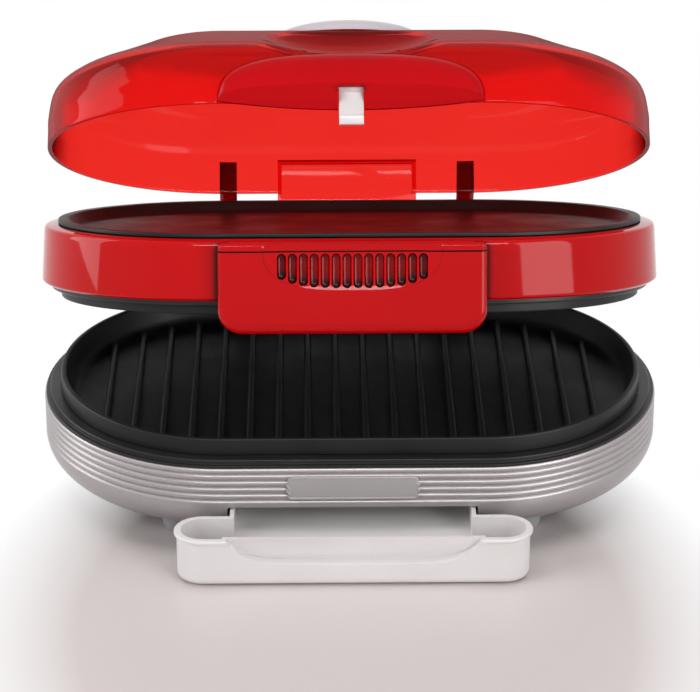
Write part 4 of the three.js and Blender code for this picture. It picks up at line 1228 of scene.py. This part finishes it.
def tray_rows(section):
    """Rings of the tray's front part from a section of (grow, height) points."""
    t = TRAY
    back = FRONT - t["front_gap"]
    front = back - t["depth"]
    rows = []
    for grow, z in section:
        rows.append([(x, y, z) for x, y in stadium(t["half"] + grow, front - grow, back + grow)])
    return rows


def scoop_tool(grow):
    """The finger scoop in the tray's front; it grows for the wall that stands behind it."""
    t = TRAY
    front = FRONT - t["front_gap"] - t["depth"]
    low = t["top"] - t["scoop_drop"] - grow
    high, edge = t["top"] + t["over"], t["top"] - grow
    half = t["half"] - t["scoop_end"] + grow
    outer, inner = t["shoulders"]
    rise = t["scoop_rise"]
    shoulder, foot = (half * outer, low + rise / 2), (half * inner, low + rise / 8)
    side_steps, middle_steps = t["scoop_steps"]
    curve = [(-half, high), (-half, edge)]
    curve += curve_through((-half, edge), (-shoulder[0], shoulder[1]), (-foot[0], foot[1]), side_steps)
    curve += curve_through((-foot[0], foot[1]), (0, low - rise / 8), foot, middle_steps)
    curve += curve_through(foot, shoulder, (half, edge), side_steps)
    curve += [(half, high)]
    top_depth, low_depth = t["scoop_depths"]

    def place(u, v, w):
        share = (high - v) / (high - low)
        depth = top_depth + (low_depth - top_depth) * share + grow
        return (u, front + depth if w else front - OVERRUN, v)

    return extruded(curve, 0, 1, place)


def drip_tray():
    t = TRAY
    bottom, top, wall, lip = t["bottom"], t["top"], t["wall"], t["lip"]
    lip_low, high, core = top - t["lip_height"], top + t["over"], t["core"] + t["over"]
    under, end, crown = t["lip_rounds"]
    section = [(-t["core"], bottom), (0, bottom, t["foot_round"]), (0, lip_low - t["lip_slant"], under)]
    section += [(lip, lip_low, end), (lip, top, crown), (-t["core"], top)]
    outside = rounded(section, 0, closed=False)
    made = mesh_object("drip_tray_body", lofted(tray_rows(outside)))
    neck = TRAY_OPENING["half"] - t["neck_gap"]
    floor = SHELL["bottom"] + SHELL["wall"] + GAP
    middle = FRONT - t["front_gap"] - t["depth"] / 2
    boolean(made, [block((-neck, neck), (middle, t["neck_back"]), (floor, top))], "UNION")
    basin = [(-core, bottom + wall), (-wall, bottom + wall, t["basin_round"]), (-wall, high)]
    basin = rounded(basin, 0, closed=False) + [(-core, high)]
    room = boolean(mesh_object("room", lofted(tray_rows(basin))), [scoop_tool(wall)])
    channel = block((wall - neck, neck - wall), (middle, t["neck_back"] - wall), (floor + wall, high))
    boolean(made, [scoop_tool(0), as_shape(room), channel])
    bpy.data.objects.remove(room)
    bevelled(made, *t["bevel"])
    return dressed(made, "drip_tray", sharp=BLUNT)


# Badge


def badge_outline(inset):
    """Points round the badge plate, whose sides are a row of beads."""
    b = BADGE
    points = []
    steps = b["steps"]
    half_height = b["height"] / 2
    for side in (1, -1):
        for i in range(steps + 1):
            z = side * (2 * i / steps - 1) * (half_height - inset)
            level = z / half_height
            bead = abs(math.sin(math.pi * b["beads"] * (level + 1) / 2))
            x = b["half"] - b["bead"] - b["taper"] * level**2 + b["bead"] * bead - inset
            points.append((side * x, b["low"] + half_height + z))
    return points


def badge_plate():
    b = BADGE
    section = [(0, b["back"])] + [(inset, b["face"] + step) for inset, step in b["edge"]]
    rows = [[(x, y, z) for x, z in badge_outline(inset)] for inset, y in section]
    return dressed(mesh_object("badge_plate_face", lofted(rows)), "badge_plate", BADGE_SILVER, b["sharp"])


# Copies of plain nodes with softened edges


SOFT_SEGMENTS = 2
SOFT_ANGLE = 35
SOFT_WIDTHS = {
    "hinge_bracket": 0.8,
    "middle_hinge_arm": 0.8,
    "lid_hinge_ear": 0.6,
    "hinge_pin": 0.4,
    "lid_pin": 0.4,
    "latch_pin": 0.2,
    "latch_clip": 0.35,
    "lid_rear_plate": 0.4,
    "cord_gland": 0.5,
    "bottom_cover": 0.6,
    "bottom_screw": 0.3,
    "tray_housing": 0.4,
}


def softened(node, width):
    """Replaces a CAD node by a copy of its mesh with rounded edges."""
    mesh = frame["nodes"][node].data.copy()
    bm = bmesh.new()
    bm.from_mesh(mesh)
    bmesh.ops.remove_doubles(bm, verts=bm.verts, dist=TINY)
    bmesh.ops.dissolve_limit(bm, angle_limit=math.radians(1), verts=bm.verts, edges=bm.edges)
    bm.to_mesh(mesh)
    bm.free()
    made = bevelled(added_object(node + "_soft", mesh), width * MM, SOFT_SEGMENTS, SOFT_ANGLE)
    return dressed(made, node, sharp=math.radians(SOFT_ANGLE), drawn=False)


def softened_pieces():
    for node in SLOT_OF:
        for stem, width in SOFT_WIDTHS.items():
            if node.startswith(stem):
                softened(node, width)


# Stage, lights and camera

FLOOR_CENTRE = (0, -0.17, 0)
FLOOR_RADII = (0.19, 0.26, 1)
FLOOR_COLOUR = (0.58, 0.53, 0.525)
FLOOR_HALF = 6
FLOOR_FADE = 0.7  # share of the radii at which the floor starts to turn white
AMBIENT = 0.25  # strength of the white light that comes from all round
LAMP_TARGET = (0, 0, 0.12)


def white_rays(tree):
    """Rays that see the white background: from the camera, glossy and transmitted ones."""
    paths = added(tree, "LightPath", {})
    seen = paths.outputs["Is Camera Ray"]
    for ray in ("Is Glossy Ray", "Is Transmission Ray"):
        seen = worked_out(tree, "MAXIMUM", seen, paths.outputs[ray])
    return seen


def pale_floor():
    """A pale floor that turns white outside an oval round the appliance."""
    tree, shader, made = material("floor")
    fed(tree, shader, {"Base Color": FLOOR_COLOUR, "Roughness": 0.3, "Specular IOR Level": 0.4})
    centred = {
        "Vector": added(tree, "TexCoord", {}).outputs["Object"],
        "Location": [-c / r for c, r in zip(FLOOR_CENTRE, FLOOR_RADII)],
        "Scale": [1 / r for r in FLOOR_RADII],
    }
    length = added(tree, "VectorMath", {0: added(tree, "Mapping", centred).outputs["Vector"]})
    length.operation = "LENGTH"
    far = spread(tree, length.outputs["Value"], 0, 1, FLOOR_FADE, 1)
    seen = worked_out(tree, "MULTIPLY", far, white_rays(tree))
    glow = added(tree, "Emission", {}).outputs["Emission"]
    surfaced(tree, layered(tree, seen, shader.outputs["BSDF"], glow))
    return made


def floor():
    corners = [(x * FLOOR_HALF, y * FLOOR_HALF, 0) for x, y in ((-1, -1), (1, -1), (1, 1), (-1, 1))]
    made = mesh_object("floor", (corners, [(0, 1, 2, 3)]))
    made.data.materials.append(pale_floor())


def background(tree, strength):
    made = added(tree, "Background", {"Color": (1, 1, 1), "Strength": strength})
    return made.outputs["Background"]


def world():
    """A dim white light all round, and full white where the background itself is seen."""
    made = bpy.data.worlds.new("studio")
    bpy.context.scene.world = made
    made.use_nodes = True
    tree = made.node_tree
    tree.nodes.clear()
    surface = layered(tree, white_rays(tree), background(tree, AMBIENT), background(tree, 1))
    added(tree, "OutputWorld", {"Surface": surface})


def lamp(name, place, size, power, glossy=False):
    """A softbox, either for the light on the object or for its highlights."""
    data = bpy.data.lights.new(name, "AREA")
    data.shape = "RECTANGLE"
    data.size, data.size_y = size
    data.energy = power
    made = added_object(name, data)
    made.location = place
    made.rotation_euler = (Vector(LAMP_TARGET) - Vector(place)).to_track_quat("-Z", "Y").to_euler()
    made.visible_glossy = glossy
    made.visible_diffuse = not glossy
    made.visible_camera = False
    made.visible_transmission = False


def lamps():
    lamp("left_light", (-1.2, -0.6, 0.6), size=(0.8, 1.0), power=12)
    lamp("right_light", (0.95, -1.25, 0.6), size=(0.8, 1.0), power=14)
    lamp("top_light", (0, 0.1, 1.6), size=(1.6, 1.2), power=17)
    lamp("left_softbox", (-1.3, 0.2, 0.45), size=(0.7, 1.0), power=9, glossy=True)
    lamp("front_strip", (0, -1.5, 1.15), size=(1.3, 0.22), power=16, glossy=True)
    lamp("right_softbox", (1.05, -1.0, 0.5), size=(0.9, 1.0), power=18, glossy=True)


CAMERA_DISTANCE = 1.5183  # in front of the body's middle, along its own axis
CAMERA_HEIGHT = 0.7514
CAMERA_PITCH = 24.2  # degrees down
CAMERA_YAW = 0.8  # degrees that the appliance is turned from the camera
FOCAL_PIXELS = 3200
IMAGE_WIDTH = 700
SENSOR_WIDTH = 36


def camera():
    data = bpy.data.cameras.new("camera")
    data.sensor_width = SENSOR_WIDTH
    data.lens = SENSOR_WIDTH * FOCAL_PIXELS / IMAGE_WIDTH
    made = added_object("camera", data)
    yaw = math.radians(CAMERA_YAW)
    back = PLACE["base"].translation.y - CAMERA_DISTANCE * math.cos(yaw)
    made.location = (-CAMERA_DISTANCE * math.sin(yaw), back, CAMERA_HEIGHT)
    made.rotation_euler = (math.radians(90 - CAMERA_PITCH), 0, -yaw)
    bpy.context.scene.camera = made


def cad_looks():
    """Every CAD node gets its slot's look."""
    for name, node in frame["nodes"].items():
        node.data.materials.clear()
        node.data.materials.append(SLOT_LOOKS[SLOT_OF[name]])


bpy.context.scene.view_settings.view_transform = "Standard"
camera()
world()
lamps()
floor()
cad_looks()
base_shell()
base_collar()
lower_plate()
feet()
upper_housing()
bun_tray()
middle_collar()
upper_plate()
front_handle()
drip_tray()
badge_plate()
lid_dome()
lid_handle()
lid_medallion()
softened_pieces()
